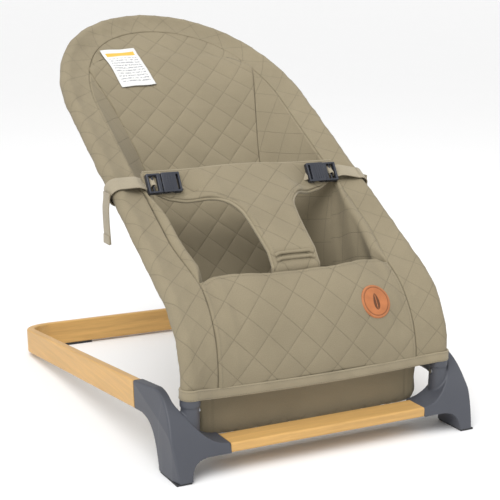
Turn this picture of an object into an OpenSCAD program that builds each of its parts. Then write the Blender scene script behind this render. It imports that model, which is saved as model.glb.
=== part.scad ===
// Baby bouncer seat: a fabric hammock on a springy steel frame, plugged into a flat tube base.
// X runs across the seat, +Y to the rear, +Z up. All sizes are in millimetres.

/* [Base] */
// Width over the outer faces of the base
base_w = 420; // [400:5:440]
// Length from the crossbar's front face to the rear bar's lowest edge
base_len = 580; // [540:5:620]
// Tall side of the flat tube section
flat_h = 35; // [30:1:38]
// Thin side of the flat tube section
flat_t = 12; // [10:1:14]
// Wall of the flat tube
flat_wall = 1.2; // [1:0.1:1.6]
// Radius on the edges of the flat tube
flat_edge_r = 2.5; // [1.5:0.5:3.5]
// Outer radius of the two rear corners of the base
rear_corner_r = 47; // [40:1:60]
// How far the side arms slope down to the rear, in degrees
arm_slope = 6.4; // [5:0.2:7]
// Underside of the crossbar above the floor
crossbar_z = 25.5; // [22:0.5:30]
// Thickness of the rubber pads
pad_t = 2; // [1.5:0.5:3]

/* [Foot housings] */
// How far the toe stands ahead of the crossbar
toe_reach = 9; // [6:1:14]
// Distance from the crossbar's front face to the mouth of the arm socket
mouth_y = 115; // [100:1:130]
// Length of the part that covers the crossbar, measured from the base's outer face
housing_reach = 74; // [66:1:80]
// Width of each foot on the floor
foot_w = 22; // [18:1:26]
// Depth of each foot on the floor
foot_depth = 50; // [42:1:56]
// Top of the round post that holds the seat frame
post_top = 90; // [84:1:96]
// Wall of the round post
post_wall = 2.6; // [2:0.2:3.5]
// Length of the spigots inside the flat tubes
spigot_len = 26; // [18:1:34]

/* [Seat frame] */
// Distance from the base's outer face to the middle of each frame leg
leg_inset = 34.5; // [30:0.5:40]
// Distance of the frame legs behind the crossbar's front face
leg_y = 29; // [26:0.5:32]
// Outer radius of the frame tube
tube_r = 8; // [7:0.5:8.5]
// Wall of the frame tube
tube_wall = 1.5; // [1:0.1:2]
// Height where the front bend starts
bend_z = 95; // [93:1:105]
// Radius of the front bend
bend_r = 120; // [100:2:140]
// Angle of the seat frame above the floor, in degrees
incline = 31.3; // [27:0.5:36]
// Straight length of each side, from the bend to the head curve
side_len = 367; // [330:1:400]
// Radius of the long shoulder curve
shoulder_r = 260; // [230:5:300]
// Radius of the crown at the top of the head
crown_r = 162; // [145:1:172]
// Length of the steel plugs that join the frame tubes
joiner_len = 44; // [34:1:60]

/* [Fabric] */
// Outer radius of the fabric sleeve round the frame
sleeve_r = 10.5; // [10:0.5:12.5]
// Air between the frame tube and its sleeve
sleeve_gap = 0.6; // [0.4:0.1:1]
// Thickness of the quilted panels
quilt_t = 4; // [3:0.5:5]
// Gap left along the seams
seam_gap = 1; // [0.6:0.1:1.5]
// Lowest point of the seat pouch above the floor
pouch_z = 36; // [34:1:48]
// Front face of the seat pouch, from the crossbar's front face
pouch_y = 49; // [47:1:56]
// Width of the seat pouch at the front
pouch_w = 300; // [270:5:312]
// Width of the back panel where it is narrowest
back_w = 180; // [160:5:210]
// Steepness of the back panel above the seat, in degrees
back_angle = 53; // [50:1:56]
// Where the back panel's darts end, up the frame
dart_s = 437; // [420:1:450]
// Lowest point of the front hem
hem_z = 84; // [80:1:90]
// Height of the hem binding
hem_h = 13; // [10:1:16]

/* [Harness] */
// Width of the strap between the legs
crotch_w = 66; // [56:2:80]
// Width over the tips of both wings
wing_span = 284; // [270:2:290]
// Top edge of the harness, up the frame
harness_top = 202; // [192:1:212]
// Lower edge of the wings beside the centre, up the frame
wing_low = 139; // [130:1:146]
// Thickness of the harness panel
harness_t = 5; // [4:0.5:7]
// Width of the strap webbing
web_w = 22; // [18:1:24]
// Thickness of the strap webbing
web_t = 1.4; // [1:0.1:2]
// Length of each loose strap tail
tail_len = 62; // [45:1:80]
// Length of each buckle
buckle_len = 46; // [40:1:50]
// Plastic beside the webbing on each edge of a buckle
buckle_rim = 2.5; // [2:0.5:4]
// Thickness of each buckle
buckle_t = 9; // [8:0.5:10]
// Diameter of the round badge
badge_d = 42; // [30:1:50]
// Width of the sewn label
label_w = 58; // [40:1:70]
// Height of the sewn label
label_h = 80; // [60:1:90]

/* [Hidden] */
$fn = 48;

grey = "#55585f";
wood = "#d0a468";
khaki = "#a3977c";
rubber = "#2c2d30";
steel = "#b9bcc0";
webbing = "#8d8369";
clip = "#3a4150";
tan = "#c4733f";

slip = 0.2;             // clearance of a plugged joint
half_w = base_w / 2;
leg_x = half_w - leg_inset;
over = 1;               // how far a cut runs past a face

// Frame centreline, seen from the side. s is the path length from the top of the front bend.
bend_deg = 90 - incline;
bend_len = bend_r * bend_deg * PI / 180;
bend_cy = leg_y + bend_r;
top_y = bend_cy - bend_r * cos(bend_deg);
top_z = bend_z + bend_r * sin(bend_deg);
join_deg = acos((shoulder_r - leg_x) / (shoulder_r - crown_r));
join_s = side_len + shoulder_r * sin(join_deg);
crown_s = join_s - crown_r * sin(join_deg);
apex_s = crown_s + crown_r;
apex_y = top_y + apex_s * cos(incline);

// The whole object is centred front to back over its resting area
back_y = apex_y + sleeve_r;
mid_y = (back_y - toe_reach) / 2;

// Crossbar and arms
crossbar_half = half_w - housing_reach;
spigot_h = flat_h - 2 * (flat_wall + slip);
spigot_t = flat_t - 2 * (flat_wall + slip);
screw_r = 1.5;
screw_head_r = 3.4;
screw_head_t = 1.8;
screw_len = 8;

// Post and snap button
post_r = tube_r + slip + post_wall;
post_floor = 47;
button_z = 73.5;
button_r = 3;
button_out = 1;         // how far the button stands out of the post
button_travel = button_out + post_wall;
rib_t = 4;              // web between the post and the crossbar
web_back = leg_y + button_r + slip + 1 + rib_t;

// Fabric stations
panel_x = leg_x - sleeve_r - seam_gap;
seam_x = leg_x - 28.5;  // where the sleeve is sewn to the panels
sleeve_end = post_top + 1;
web_clear = 0.6;        // gap between stacked layers of webbing
wrap_r = sleeve_r + web_clear;

// Buckle pose on the frame plane
buckle_x = 118;
buckle_w = web_w + 2 * buckle_rim;
buckle_s = harness_top - 9 - web_w / 2;
buckle_n = 15.5;
buckle_tilt = 28;
strap_s = buckle_s + 2;
prong_len = 15;
prong_t = 3.4;

function unit(v) = v / norm(v);
function mix(a, b, t) = a + (b - a) * t;
function clamp01(t) = min(1, max(0, t));
function ease(t) = clamp01(t) * clamp01(t) * (3 - 2 * clamp01(t));

// Cubic curve from a to d with handles b and c
function curve(a, b, c, d, n = 10) = [
  for (i = [0:n]) let (t = i / n, u = 1 - t)
    u * u * u * a + 3 * u * u * t * b + 3 * u * t * t * c + t * t * t * d
];

// Corner cutting: each pass rounds the corners of an open line and keeps its ends
function rounded(p, passes = 1) = passes == 0 ? p : rounded(concat(
  [p[0]],
  [for (i = [0:len(p) - 2], k = [0, 1]) mix(p[i], p[i + 1], k == 0 ? 0.25 : 0.75)],
  [p[len(p) - 1]]
), passes - 1);

// [y, z] on the frame's centreline at s, moved out by n
function rail(s, n = 0) =
  s >= 0 ? [top_y + s * cos(incline) - n * sin(incline), top_z + s * sin(incline) + n * cos(incline)]
  : s > -bend_len ? let (a = bend_deg + s / bend_r * 180 / PI)
      [bend_cy - (bend_r + n) * cos(a), bend_z + (bend_r + n) * sin(a)]
  : [leg_y - n, bend_z + s + bend_len];

// Half width of the frame's centreline at s
function rail_x(s) =
  s <= side_len ? leg_x
  : s <= join_s ? leg_x - shoulder_r + sqrt(shoulder_r * shoulder_r - (s - side_len) * (s - side_len))
  : sqrt(max(0, crown_r * crown_r - (s - crown_s) * (s - crown_s)));

// [y, z] on the side arm: d forward from the rear edge, h up its face
function arm(d, h) = [
  base_len - d * cos(arm_slope) + h * sin(arm_slope),
  pad_t + d * sin(arm_slope) + h * cos(arm_slope)
];
mouth_d = (base_len - mouth_y) / cos(arm_slope);

// Sling line from the front of the pouch to the crown: [y, z, half width]
floor_y = 150;
back_foot_z = 62;
plane_z = quilt_t / 2;  // panels lie just under the frame's centre
dart_pt = rail(dart_s, -plane_z);
back_top = [dart_pt[0] - 40, dart_pt[1] - 40 * tan(incline) - 14];
back_foot_y = back_top[0] - (back_top[1] - back_foot_z) / tan(back_angle);
sling_front = rounded([
  [rail(4, 0)[0], rail(4, 0)[1] - 6, pouch_w / 2 - 8],
  [pouch_y + 10, 120, pouch_w / 2],
  [pouch_y, pouch_z + 22, pouch_w / 2],
  [pouch_y + 4, pouch_z, pouch_w / 2 - 2],
  [pouch_y + 50, pouch_z, pouch_w / 2 - 8],
  [floor_y - 22, pouch_z + 4, pouch_w / 2 - 24]
], 2);
sling_back = concat(
  rounded([
    [floor_y - 20.5, pouch_z + 4.4, pouch_w / 2 - 24],
    [back_foot_y, back_foot_z - 8, back_w / 2 + 20],
    [mix(back_foot_y, back_top[0], 0.35), mix(back_foot_z, back_top[1], 0.35), back_w / 2 + 8],
    [mix(back_foot_y, back_top[0], 0.8), mix(back_foot_z, back_top[1], 0.8), back_w / 2 + 2],
    [back_top[0], back_top[1], back_w / 2 + 20],
    [rail(dart_s + 8, -plane_z)[0], rail(dart_s + 8, -plane_z)[1], 134]
  ], 2),
  [for (s = [dart_s + 22 : 10 : apex_s - sleeve_r - 8])
    [rail(s, -plane_z)[0], rail(s, -plane_z)[1], crown_fill(s)]],
  [let (s = apex_s - sleeve_r - seam_gap) [rail(s, -plane_z)[0], rail(s, -plane_z)[1], 18]]
);
function crown_fill(s) = let (r = crown_r - sleeve_r - seam_gap)
  min(mix(134, 152, clamp01((s - dart_s) / 30)), rail_x(s) - sleeve_r - 2,
      sqrt(max(400, r * r - (s - crown_s) * (s - crown_s))));

// Closed sheet that hangs t below a grid of points: rows run up the seat, columns towards +X
module sheet(grid, t) {
  rows = len(grid);
  cols = len(grid[0]);
  function at(r, c) = grid[min(rows - 1, max(0, r))][min(cols - 1, max(0, c))];
  function low(r, c) = at(r, c) - t * unit(cross(
    at(r, min(cols - 1, c + 1)) - at(r, max(0, c - 1)),
    at(min(rows - 1, r + 1), c) - at(max(0, r - 1), c)));
  function id(r, c, k) = (k * rows + r) * cols + c;
  points = [for (k = [0, 1], r = [0:rows - 1], c = [0:cols - 1]) k == 0 ? at(r, c) : low(r, c)];
  function two(a, b, c, d) = [[a, b, c], [a, c, d]];
  quads = concat(
    [for (r = [0:rows - 2], c = [0:cols - 2])
      two(id(r, c, 0), id(r + 1, c, 0), id(r + 1, c + 1, 0), id(r, c + 1, 0))],
    [for (r = [0:rows - 2], c = [0:cols - 2])
      two(id(r, c + 1, 1), id(r + 1, c + 1, 1), id(r + 1, c, 1), id(r, c, 1))],
    [for (r = [0:rows - 2]) two(id(r, 0, 1), id(r + 1, 0, 1), id(r + 1, 0, 0), id(r, 0, 0))],
    [for (r = [0:rows - 2])
      two(id(r, cols - 1, 0), id(r + 1, cols - 1, 0), id(r + 1, cols - 1, 1), id(r, cols - 1, 1))],
    [for (c = [0:cols - 2]) two(id(0, c, 1), id(0, c, 0), id(0, c + 1, 0), id(0, c + 1, 1))],
    [for (c = [0:cols - 2]) two(
      id(rows - 1, c + 1, 1), id(rows - 1, c + 1, 0), id(rows - 1, c, 0), id(rows - 1, c, 1))]
  );
  polyhedron(points, [for (q = quads, f = q) f], convexity = 8);
}

// Everything is drawn from the crossbar's front face, then centred
module placed() {
  translate([0, -mid_y, 0])
    children();
}

module on_side(side) {
  if (side < 0)
    mirror([1, 0, 0])
      children();
  else
    children();
}

// Local X across, Y up the frame, Z out of the seat
module on_incline() {
  translate([0, top_y, top_z])
    rotate([incline, 0, 0])
      children();
}

// Local Y to the rear along the arm, Z up its face, origin at the rear bar's lowest edge
module on_arm() {
  translate([0, base_len, pad_t])
    rotate([-arm_slope, 0, 0])
      children();
}

// A profile drawn in Y and Z, given a width along X from x1 to x2
module across(x1, x2) {
  translate([x1, 0, 0])
    rotate([90, 0, 90])
      linear_extrude(height = x2 - x1)
        children();
}

// Outline of the flat tube: the tall side along the second axis
module flat_outline(shrink = 0) {
  w = flat_t - 2 * shrink;
  h = flat_h - 2 * shrink;
  r = max(0.6, flat_edge_r - shrink);
  for (k = [-1, 1])
    translate([k * (w / 2 - r), 0])
      square([2 * r, h - 2 * r], center = true);
  square([w - 2 * r, h], center = true);
  for (i = [-1, 1], j = [-1, 1])
    translate([i * (w / 2 - r), j * (h / 2 - r)])
      circle(r, $fn = 24);
}

module flat_section() {
  difference() {
    flat_outline();
    flat_outline(flat_wall);
  }
}

// ---- Base ----

module rear_base_tube() {
  centre_r = rear_corner_r - flat_t / 2;
  arm_len = mouth_d - rear_corner_r;
  color(wood) placed() difference() {
    on_arm() translate([0, 0, flat_h / 2]) {
      for (k = [-1, 1]) on_side(k) {
        translate([half_w - flat_t / 2, -rear_corner_r, 0])
          rotate([90, 0, 0])
            linear_extrude(height = arm_len)
              flat_section();
        translate([half_w - rear_corner_r, -rear_corner_r, 0])
          rotate_extrude(angle = 90)
            translate([centre_r, 0])
              flat_section();
      }
      translate([-(half_w - rear_corner_r), -flat_t / 2, 0])
        rotate([90, 0, 90])
          linear_extrude(height = 2 * (half_w - rear_corner_r))
            flat_section();
    }
    arm_screw_places()
      cylinder(r = screw_r + slip, h = flat_t, center = true, $fn = 24);
  }
}

module front_crossbar() {
  color(wood) placed() difference() {
    translate([-crossbar_half, flat_h / 2, crossbar_z + flat_t / 2])
      rotate([90, 0, 90])
        linear_extrude(height = 2 * crossbar_half)
          rotate(90)
            flat_section();
    crossbar_screw_places()
      cylinder(r = screw_r + slip, h = 4 * flat_wall, center = true, $fn = 24);
  }
}

// Screws point along -Z of each place, heads at the origin
module crossbar_screw_places() {
  for (i = [-1, 1], j = [0.27, 0.73])
    translate([i * (crossbar_half - spigot_len / 2), j * flat_h, crossbar_z])
      rotate([180, 0, 0])
        children();
}

module arm_screw_places() {
  for (i = [-1, 1], j = [0.3, 0.7])
    on_side(i)
      on_arm()
        translate([half_w - flat_t, -mouth_d + spigot_len * 0.6, flat_h * j])
          rotate([0, -90, 0])
            children();
}

module screw() {
  cylinder(r = screw_head_r, h = screw_head_t, $fn = 32);
  translate([0, 0, -screw_len])
    cylinder(r = screw_r, h = screw_len + 0.2, $fn = 24);
}

module crossbar_screws() {
  color(steel) placed() crossbar_screw_places() screw();
}

module arm_screws() {
  color(steel) placed() arm_screw_places() screw();
}

arm_rise_len = 53;      // socket arm from its mouth to where the front face starts to fall
instep_len = 15;        // socket arm from its mouth to where the instep starts
sky = 110;              // above the top of every housing

// Side outline of a foot housing, in Y and Z
module housing_side() {
  toe = [-toe_reach, pad_t];
  shoulder = arm(mouth_d + arm_rise_len, flat_h);
  heel = [foot_depth - toe_reach, pad_t];
  instep = arm(mouth_d + instep_len, 0);
  polygon(concat(
    curve(toe, toe + [6, 30], [18, shoulder[1] + 1], shoulder),
    [arm(mouth_d, flat_h), arm(mouth_d, 0)],
    curve(instep, [64, instep[1] + 3], heel + [11, 40], heel)
  ));
}

// Front outline of a foot housing, in X and Z: a ramp over the crossbar and an arch beside the foot
module housing_front() {
  inner = crossbar_half;
  top_x = half_w - flat_t / 2;
  bar_top = crossbar_z + flat_t;
  polygon(concat(
    [[half_w, pad_t], [half_w, sky], [top_x, sky]],
    curve([top_x, 97], [half_w - 30, 62], [inner + 30, bar_top + 1], [inner, bar_top]),
    curve([inner, crossbar_z], [inner + 34, crossbar_z + 1.5], [half_w - foot_w - 1, crossbar_z + 3],
      [half_w - foot_w, pad_t])
  ));
}

module foot_housing(side) {
  color(grey) placed() on_side(side) difference() {
    union() {
      // Foot, front face and ramp
      intersection() {
        across(crossbar_half, half_w) housing_side();
        translate([0, foot_depth - toe_reach, 0])
          rotate([90, 0, 0])
            linear_extrude(height = foot_depth)
              housing_front();
      }
      // Socket arm, as thin as the tube it meets
      intersection() {
        across(half_w - flat_t, half_w) housing_side();
        translate([half_w - flat_t, -toe_reach, 0])
          cube([flat_t, mouth_y + toe_reach + flat_t, sky]);
      }
      // Crossbar end
      translate([crossbar_half, 0, crossbar_z])
        cube([leg_x - crossbar_half, flat_h, flat_t]);
      // Round post with the web beside it
      translate([leg_x, leg_y, crossbar_z + flat_t])
        cylinder(r = post_r, h = post_top - crossbar_z - flat_t);
      translate([0, web_back, 0])
        rotate([90, 0, 0])
          linear_extrude(height = rib_t)
            polygon([[crossbar_half + 12, crossbar_z + 5], [leg_x, crossbar_z + 5],
              [leg_x, post_top - 6], [leg_x - 22, post_top - 6], [crossbar_half + 14, post_top - 22]]);
      // Spigots that plug into the flat tubes
      translate([crossbar_half - spigot_len, (flat_h - spigot_h) / 2, crossbar_z + (flat_t - spigot_t) / 2])
        cube([spigot_len + over, spigot_h, spigot_t]);
      on_arm()
        translate([half_w - (flat_t + spigot_t) / 2, -mouth_d - over, (flat_h - spigot_h) / 2])
          cube([spigot_t, spigot_len + over, spigot_h]);
    }
    // Bore for the frame leg
    translate([leg_x, leg_y, post_floor])
      cylinder(r = tube_r + slip, h = post_top);
    // Button hole towards the middle of the seat
    translate([leg_x, leg_y, button_z])
      rotate([0, -90, 0])
        cylinder(r = button_r + slip, h = post_r + 2, $fn = 32);
    // Hole in the web, for tying the cover
    translate([leg_x - 19, web_back + over, button_z])
      rotate([90, 0, 0])
        cylinder(r = button_r, h = rib_t + 2 * over, $fn = 32);
    crossbar_screw_places()
      translate([0, 0, -screw_len - 0.5])
        cylinder(r = screw_r + 0.05, h = screw_len, $fn = 24);
    arm_screw_places()
      translate([0, 0, -screw_len - 0.5])
        cylinder(r = screw_r + 0.05, h = screw_len, $fn = 24);
  }
}

module left_foot_housing() { foot_housing(-1); }
module right_foot_housing() { foot_housing(1); }

module foot_pad(side) {
  inset = 1.5;
  color(rubber) placed() on_side(side)
    translate([half_w - foot_w + inset, -toe_reach + inset, 0])
      cube([foot_w - 2 * inset, foot_depth - 2 * inset, pad_t]);
}

module left_foot_pad() { foot_pad(-1); }
module right_foot_pad() { foot_pad(1); }

// Two rubber blocks under the rear bar, cut to its slope
module rear_floor_pads() {
  pad_len = 46;
  color(rubber) placed() for (k = [-1, 1]) on_side(k)
    difference() {
      translate([half_w - rear_corner_r - pad_len - 20, base_len - flat_t + 1, 0])
        cube([pad_len, flat_t - 2, 2 * pad_t]);
      on_arm()
        translate([0, -60, 0])
          cube([half_w, 120, 40]);
    }
}

// ---- Seat frame ----

// One side's bend and the leg under it, as a solid rod
module bend_rod(r, from_z) {
  translate([leg_x, leg_y, from_z])
    cylinder(r = r, h = bend_z - from_z);
  translate([leg_x, bend_cy, bend_z])
    rotate([90, 0, -90])
      rotate_extrude(angle = bend_deg)
        translate([bend_r, 0])
          circle(r);
}

module side_rod(r, from_s, to_s) {
  on_incline()
    translate([leg_x, from_s, 0])
      rotate([-90, 0, 0])
        cylinder(r = r, h = to_s - from_s);
}

// One side's straight and shoulder curve, as a solid rod
module upper_rod(r, from_s) {
  side_rod(r, from_s, side_len);
  on_incline()
    translate([leg_x - shoulder_r, side_len, 0])
      rotate_extrude(angle = join_deg)
        translate([shoulder_r, 0])
          circle(r);
}

// The crown between both shoulders, as a tube that stops short by `trim` degrees
module crown_ring(outer_r, inner_r, trim = 0) {
  on_incline()
    translate([0, crown_s, 0])
      rotate([0, 0, join_deg + trim])
        rotate_extrude(angle = 180 - 2 * (join_deg + trim))
          translate([crown_r, 0])
            difference() {
              circle(outer_r);
              circle(inner_r);
            }
}

bore_r = tube_r - tube_wall;
trim_deg = seam_gap / crown_r * 180 / PI;

module spring_leg(side) {
  color(steel) placed() on_side(side) difference() {
    bend_rod(tube_r, post_floor + 1);
    bend_rod(bore_r, post_floor - 2);
    translate([leg_x, leg_y, button_z])
      rotate([0, -90, 0])
        cylinder(r = button_r + slip, h = tube_r + 2, $fn = 32);
  }
}

module left_spring_leg() { spring_leg(-1); }
module right_spring_leg() { spring_leg(1); }

module side_tube(side) {
  color(steel) placed() on_side(side) difference() {
    upper_rod(tube_r, slip);
    upper_rod(bore_r, -seam_gap);
    rivet_places()
      cylinder(r = rivet_r + slip / 2, h = 3 * tube_r, center = true, $fn = 24);
  }
}

module left_side_tube() { side_tube(-1); }
module right_side_tube() { side_tube(1); }

module crown_tube() {
  color(steel) placed() crown_ring(tube_r, bore_r, slip / crown_r * 180 / PI);
}

rivet_r = 2;
rivet_s = joiner_len * 0.55;
plug_r = bore_r - 0.4;  // loose enough for the start of each curve

module rivet_places() {
  on_incline()
    translate([leg_x, rivet_s, 0])
      children();
}

// Steel plugs inside the tube joints, at both legs and at both ends of the crown
module frame_joiners() {
  in_bend = 7;
  color(steel) placed() for (k = [-1, 1]) on_side(k) {
    difference() {
      side_rod(plug_r, -in_bend, joiner_len - in_bend);
      rivet_places()
        cylinder(r = rivet_r + slip / 2, h = 3 * tube_r, center = true, $fn = 24);
    }
    on_incline()
      translate([crown_r * cos(join_deg), join_s, 0])
        rotate([-90, 0, join_deg])
          cylinder(r = plug_r - 0.1, h = 18, center = true);
  }
}

module joiner_rivets() {
  color(steel) placed() for (k = [-1, 1]) on_side(k) rivet_places()
    cylinder(r = rivet_r, h = 2 * tube_r - 0.4, center = true, $fn = 24);
}

module snap_button(side) {
  inside = tube_r - tube_wall - 1.6;
  color(steel) placed() on_side(side)
    translate([leg_x, leg_y, button_z])
      rotate([0, -90, 0]) {
        translate([0, 0, inside])
          cylinder(r = button_r, h = post_r + button_out - inside, $fn = 32);
        translate([0, 0, inside - 0.8])
          cylinder(r = button_r + 1, h = 1, $fn = 32);
      }
}

module left_snap_button() { snap_button(-1); }
module right_snap_button() { snap_button(1); }

// Bent leaf inside the leg that pushes the button out
module button_spring(side) {
  leaf_t = 0.6;
  leaf_w = 5;
  start = tube_r - tube_wall - 2.5;
  far = start + button_travel + 0.4;
  color(steel) placed() on_side(side)
    translate([leg_x - start, leg_y - leaf_w / 2, button_z])
      rotate([90, 0, 0])
        translate([0, 0, -leaf_w])
          linear_extrude(height = leaf_w)
            polygon([[0, 5], [leaf_t, 5], [leaf_t, -12], [far, -22], [far, -22 - leaf_t], [0, -12 - leaf_t]]);
}

module left_button_spring() { button_spring(-1); }
module right_button_spring() { button_spring(1); }

// ---- Fabric ----

module edge_sleeve(side) {
  color(khaki) placed() on_side(side) difference() {
    upper_rod(sleeve_r, seam_gap);
    upper_rod(tube_r + sleeve_gap, -seam_gap);
  }
}

module left_edge_sleeve() { edge_sleeve(-1); }
module right_edge_sleeve() { edge_sleeve(1); }

module crown_sleeve() {
  color(khaki) placed() crown_ring(sleeve_r, tube_r + sleeve_gap, trim_deg);
}

module leg_sleeve(side) {
  color(khaki) placed() on_side(side) difference() {
    bend_rod(sleeve_r, sleeve_end);
    bend_rod(tube_r + sleeve_gap, sleeve_end - 2);
  }
}

module left_leg_sleeve() { leg_sleeve(-1); }
module right_leg_sleeve() { leg_sleeve(1); }

// One cross row of the sling at a station [y, z, half width]
function cross_row(st, cols) = [for (c = [0:cols]) [mix(-st[2], st[2], c / cols), st[0], st[1]]];

module back_panel() {
  color(khaki) placed() sheet([for (st = sling_back) cross_row(st, 8)], quilt_t);
}

module seat_pouch() {
  color(khaki) placed() sheet([for (st = sling_front) cross_row(st, 8)], quilt_t);
}

// Side panel between the sling's edge and the sleeve
module gusset(side) {
  dart_count = len([for (st = sling_back) if (st[0] <= rail(dart_s - 6)[0]) 1]);
  edge = concat(
    [for (i = [2:len(sling_front) - 1]) sling_front[i]],
    [for (i = [1:dart_count - 1]) sling_back[i]]
  );
  steps = len(edge) - 1;
  first_s = -bend_len * 0.62;
  grid = [for (i = [0:steps]) let (
      s = mix(first_s, dart_s - 8, i / steps),
      e = edge[i],
      up = rail(s, -plane_z),
      inset = mix(panel_x - 1.6, seam_x - 12, ease((s - 240) / 170))
    ) [for (j = [0:4]) let (t = mix(0.04, 0.99, j / 4))
      [mix(e[2] + seam_gap + (i < 7 ? quilt_t : 1), inset, t), mix(e[0], up[0], t), mix(e[1], up[1], t)]]];
  color(khaki) placed() on_side(side) sheet(grid, quilt_t - 1);
}

module left_gusset() { gusset(-1); }
module right_gusset() { gusset(1); }

// Curved front panel over the bend, from the hem to the leg holes
module front_apron() {
  n1 = 1;
  n2 = n1 + quilt_t;
  low = -bend_len - bend_z + hem_z + hem_h + 0.5;
  stops = concat([for (i = [0:24]) mix(low, 0, i / 24)], [14]);
  color(khaki) placed() across(-panel_x, panel_x)
    polygon(concat([for (s = stops) rail(s, n2)], [for (i = [len(stops) - 1:-1:0]) rail(stops[i], n1)]));
}

module hem_binding() {
  n1 = 0.5;
  color(webbing) placed() translate([-panel_x, leg_y - n1 - quilt_t - 1, hem_z])
    cube([2 * panel_x, quilt_t + 1, hem_h]);
}

// ---- Harness ----

// Lower edge of the harness at x, up the frame
function harness_low(x) =
  x <= crotch_w / 2 - 1 ? 15
  : x <= crotch_w / 2 + 14 ? mix(15, wing_low - 4, pow((x - crotch_w / 2 + 1) / 15, 0.35))
  : x <= 85 ? mix(wing_low - 4, wing_low + 2, (x - crotch_w / 2 - 14) / (71 - crotch_w / 2))
  : mix(wing_low + 2, harness_top - 28, ease((x - 85) / 40));

// Height of the harness above the frame plane
function harness_rise(x, s) = let (
    flat = s < 34 ? mix(11, 19, (s - 15) / 19)
      : s < 106 ? mix(19, 23, (s - 34) / 72)
      : mix(23, 19, clamp01((s - 106) / 60)),
    tipped = 18 - min(harness_top - s, 34) * tan(buckle_tilt)
  ) mix(flat, tipped, ease((x - 60) / 33));

module harness_panel() {
  half = wing_span / 2;
  xs = concat(
    [for (x = [half, half - 14, half - 28, half - 42, 88, 76, 64, 54]) x],
    [for (x = [14, 9, 5, 2, 0.5, -1]) crotch_w / 2 + x],
    [crotch_w / 4, 0]
  );
  all_x = concat([for (x = xs) -x], [for (i = [len(xs) - 2:-1:0]) xs[i]]);
  rows = 9;
  grid = [for (r = [0:rows]) [for (x = all_x) let (
      a = abs(x), s = mix(harness_low(a), harness_top, r / rows))
    [x, s, harness_rise(a, s)]]];
  color(khaki) placed() on_incline() sheet(grid, harness_t);
}

// Raised band with a slit across the foot of the harness, and the tab under it
module crotch_band() {
  s1 = 17;
  s2 = 27;
  color(khaki) placed() on_incline() difference() {
    hull() {
      translate([-crotch_w / 2 + 6, s1, harness_rise(0, s1) + 0.4])
        cube([crotch_w - 12, 0.5, 2.4]);
      translate([-crotch_w / 2 + 6, s2, harness_rise(0, s2) + 0.4])
        cube([crotch_w - 12, 0.5, 2.4]);
    }
    translate([-crotch_w / 2 + 14, (s1 + s2) / 2 - 0.6, 0])
      cube([crotch_w - 28, 1.4, 60]);
  }
}

badge_s = -47;
badge_x = 88;
module leather_badge() {
  n = 1 + quilt_t + 0.3;
  a = bend_deg + badge_s / bend_r * 180 / PI;
  p = rail(badge_s, n);
  color(tan) placed() translate([badge_x, p[0], p[1]])
    rotate([a > 0 ? 90 - a : 90, 0, 0])
      translate([0, 0, 1.6])
        cylinder(d = badge_d, h = 2);
}

label_s = 421;
module care_label() {
  color("white") placed() on_incline()
    translate([-66, 0, 0])
      translate([-label_w / 2, label_s, 1 - plane_z])
        cube([label_w, label_h, 0.6]);
}

// Webbing from the buckle over the sleeve and round to its underside, drawn in X and Z of the frame
strap_in = buckle_x + buckle_len / 2 + slip;
strap_end = leg_x - 5;
function strap_line(r, side) = concat(
  [[strap_in, buckle_n + side * web_t / 2]],
  [for (i = [0:12]) [leg_x + r * sin(15 * i), r * cos(15 * i)]],
  [[strap_end, -r]]
);

module strap(side) {
  outer = strap_line(wrap_r + web_t, 1);
  inner = strap_line(wrap_r, -1);
  color(webbing) placed() on_side(side) on_incline()
    translate([0, strap_s + web_w / 2, 0])
      rotate([90, 0, 0])
        linear_extrude(height = web_w)
          polygon(concat(outer, [for (i = [len(inner) - 1:-1:0]) inner[i]]));
}

module left_strap() { strap(-1); }
module right_strap() { strap(1); }

// Loose end of the webbing, hanging outside the frame, with its folded tip
module strap_tail(side) {
  out = wrap_r + web_t + web_clear;
  p = rail(strap_s, 0);
  color(webbing) placed() on_side(side)
    translate([leg_x + out, p[0] - 10, p[1] - tail_len]) {
      cube([web_t, web_w - 2, tail_len]);
      cube([web_t + 1.6, web_w - 2, 11]);
    }
}

module left_strap_tail() { strap_tail(-1); }
module right_strap_tail() { strap_tail(1); }

// Local X away from the seat's middle, Y up the frame, Z out of the wing
module on_buckle(side) {
  on_side(side)
    on_incline()
      translate([buckle_x, buckle_s, buckle_n])
        rotate([buckle_tilt, 0, 0])
          children();
}

wall = 1.8;
seat_x = -buckle_len / 2;
split_x = 3;            // where the two halves meet
tongue_w = 5;
window_x = -13;
window_len = 9;

module female_half(side) {
  color(clip) placed() on_buckle(side) difference() {
    translate([seat_x, -buckle_w / 2, -buckle_t / 2])
      cube([split_x - seat_x, buckle_w, buckle_t]);
    translate([seat_x + 8, -buckle_w / 2 + wall, -buckle_t / 2 + wall])
      cube([40, buckle_w - 2 * wall, buckle_t - 2 * wall]);
    translate([window_x, -buckle_w, -prong_t / 2 - 0.6])
      cube([window_len, 2 * buckle_w, prong_t + 1.2]);
    translate([seat_x + 2.5, -web_w / 2 - 0.5, -buckle_t])
      cube([3, web_w + 1, 2 * buckle_t]);
    translate([seat_x - 1, -web_w / 2 + 0.5, -web_t / 2 - slip])
      cube([4, web_w - 1, web_t + 2 * slip]);
  }
}

module left_buckle_female() { female_half(-1); }
module right_buckle_female() { female_half(1); }

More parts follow.
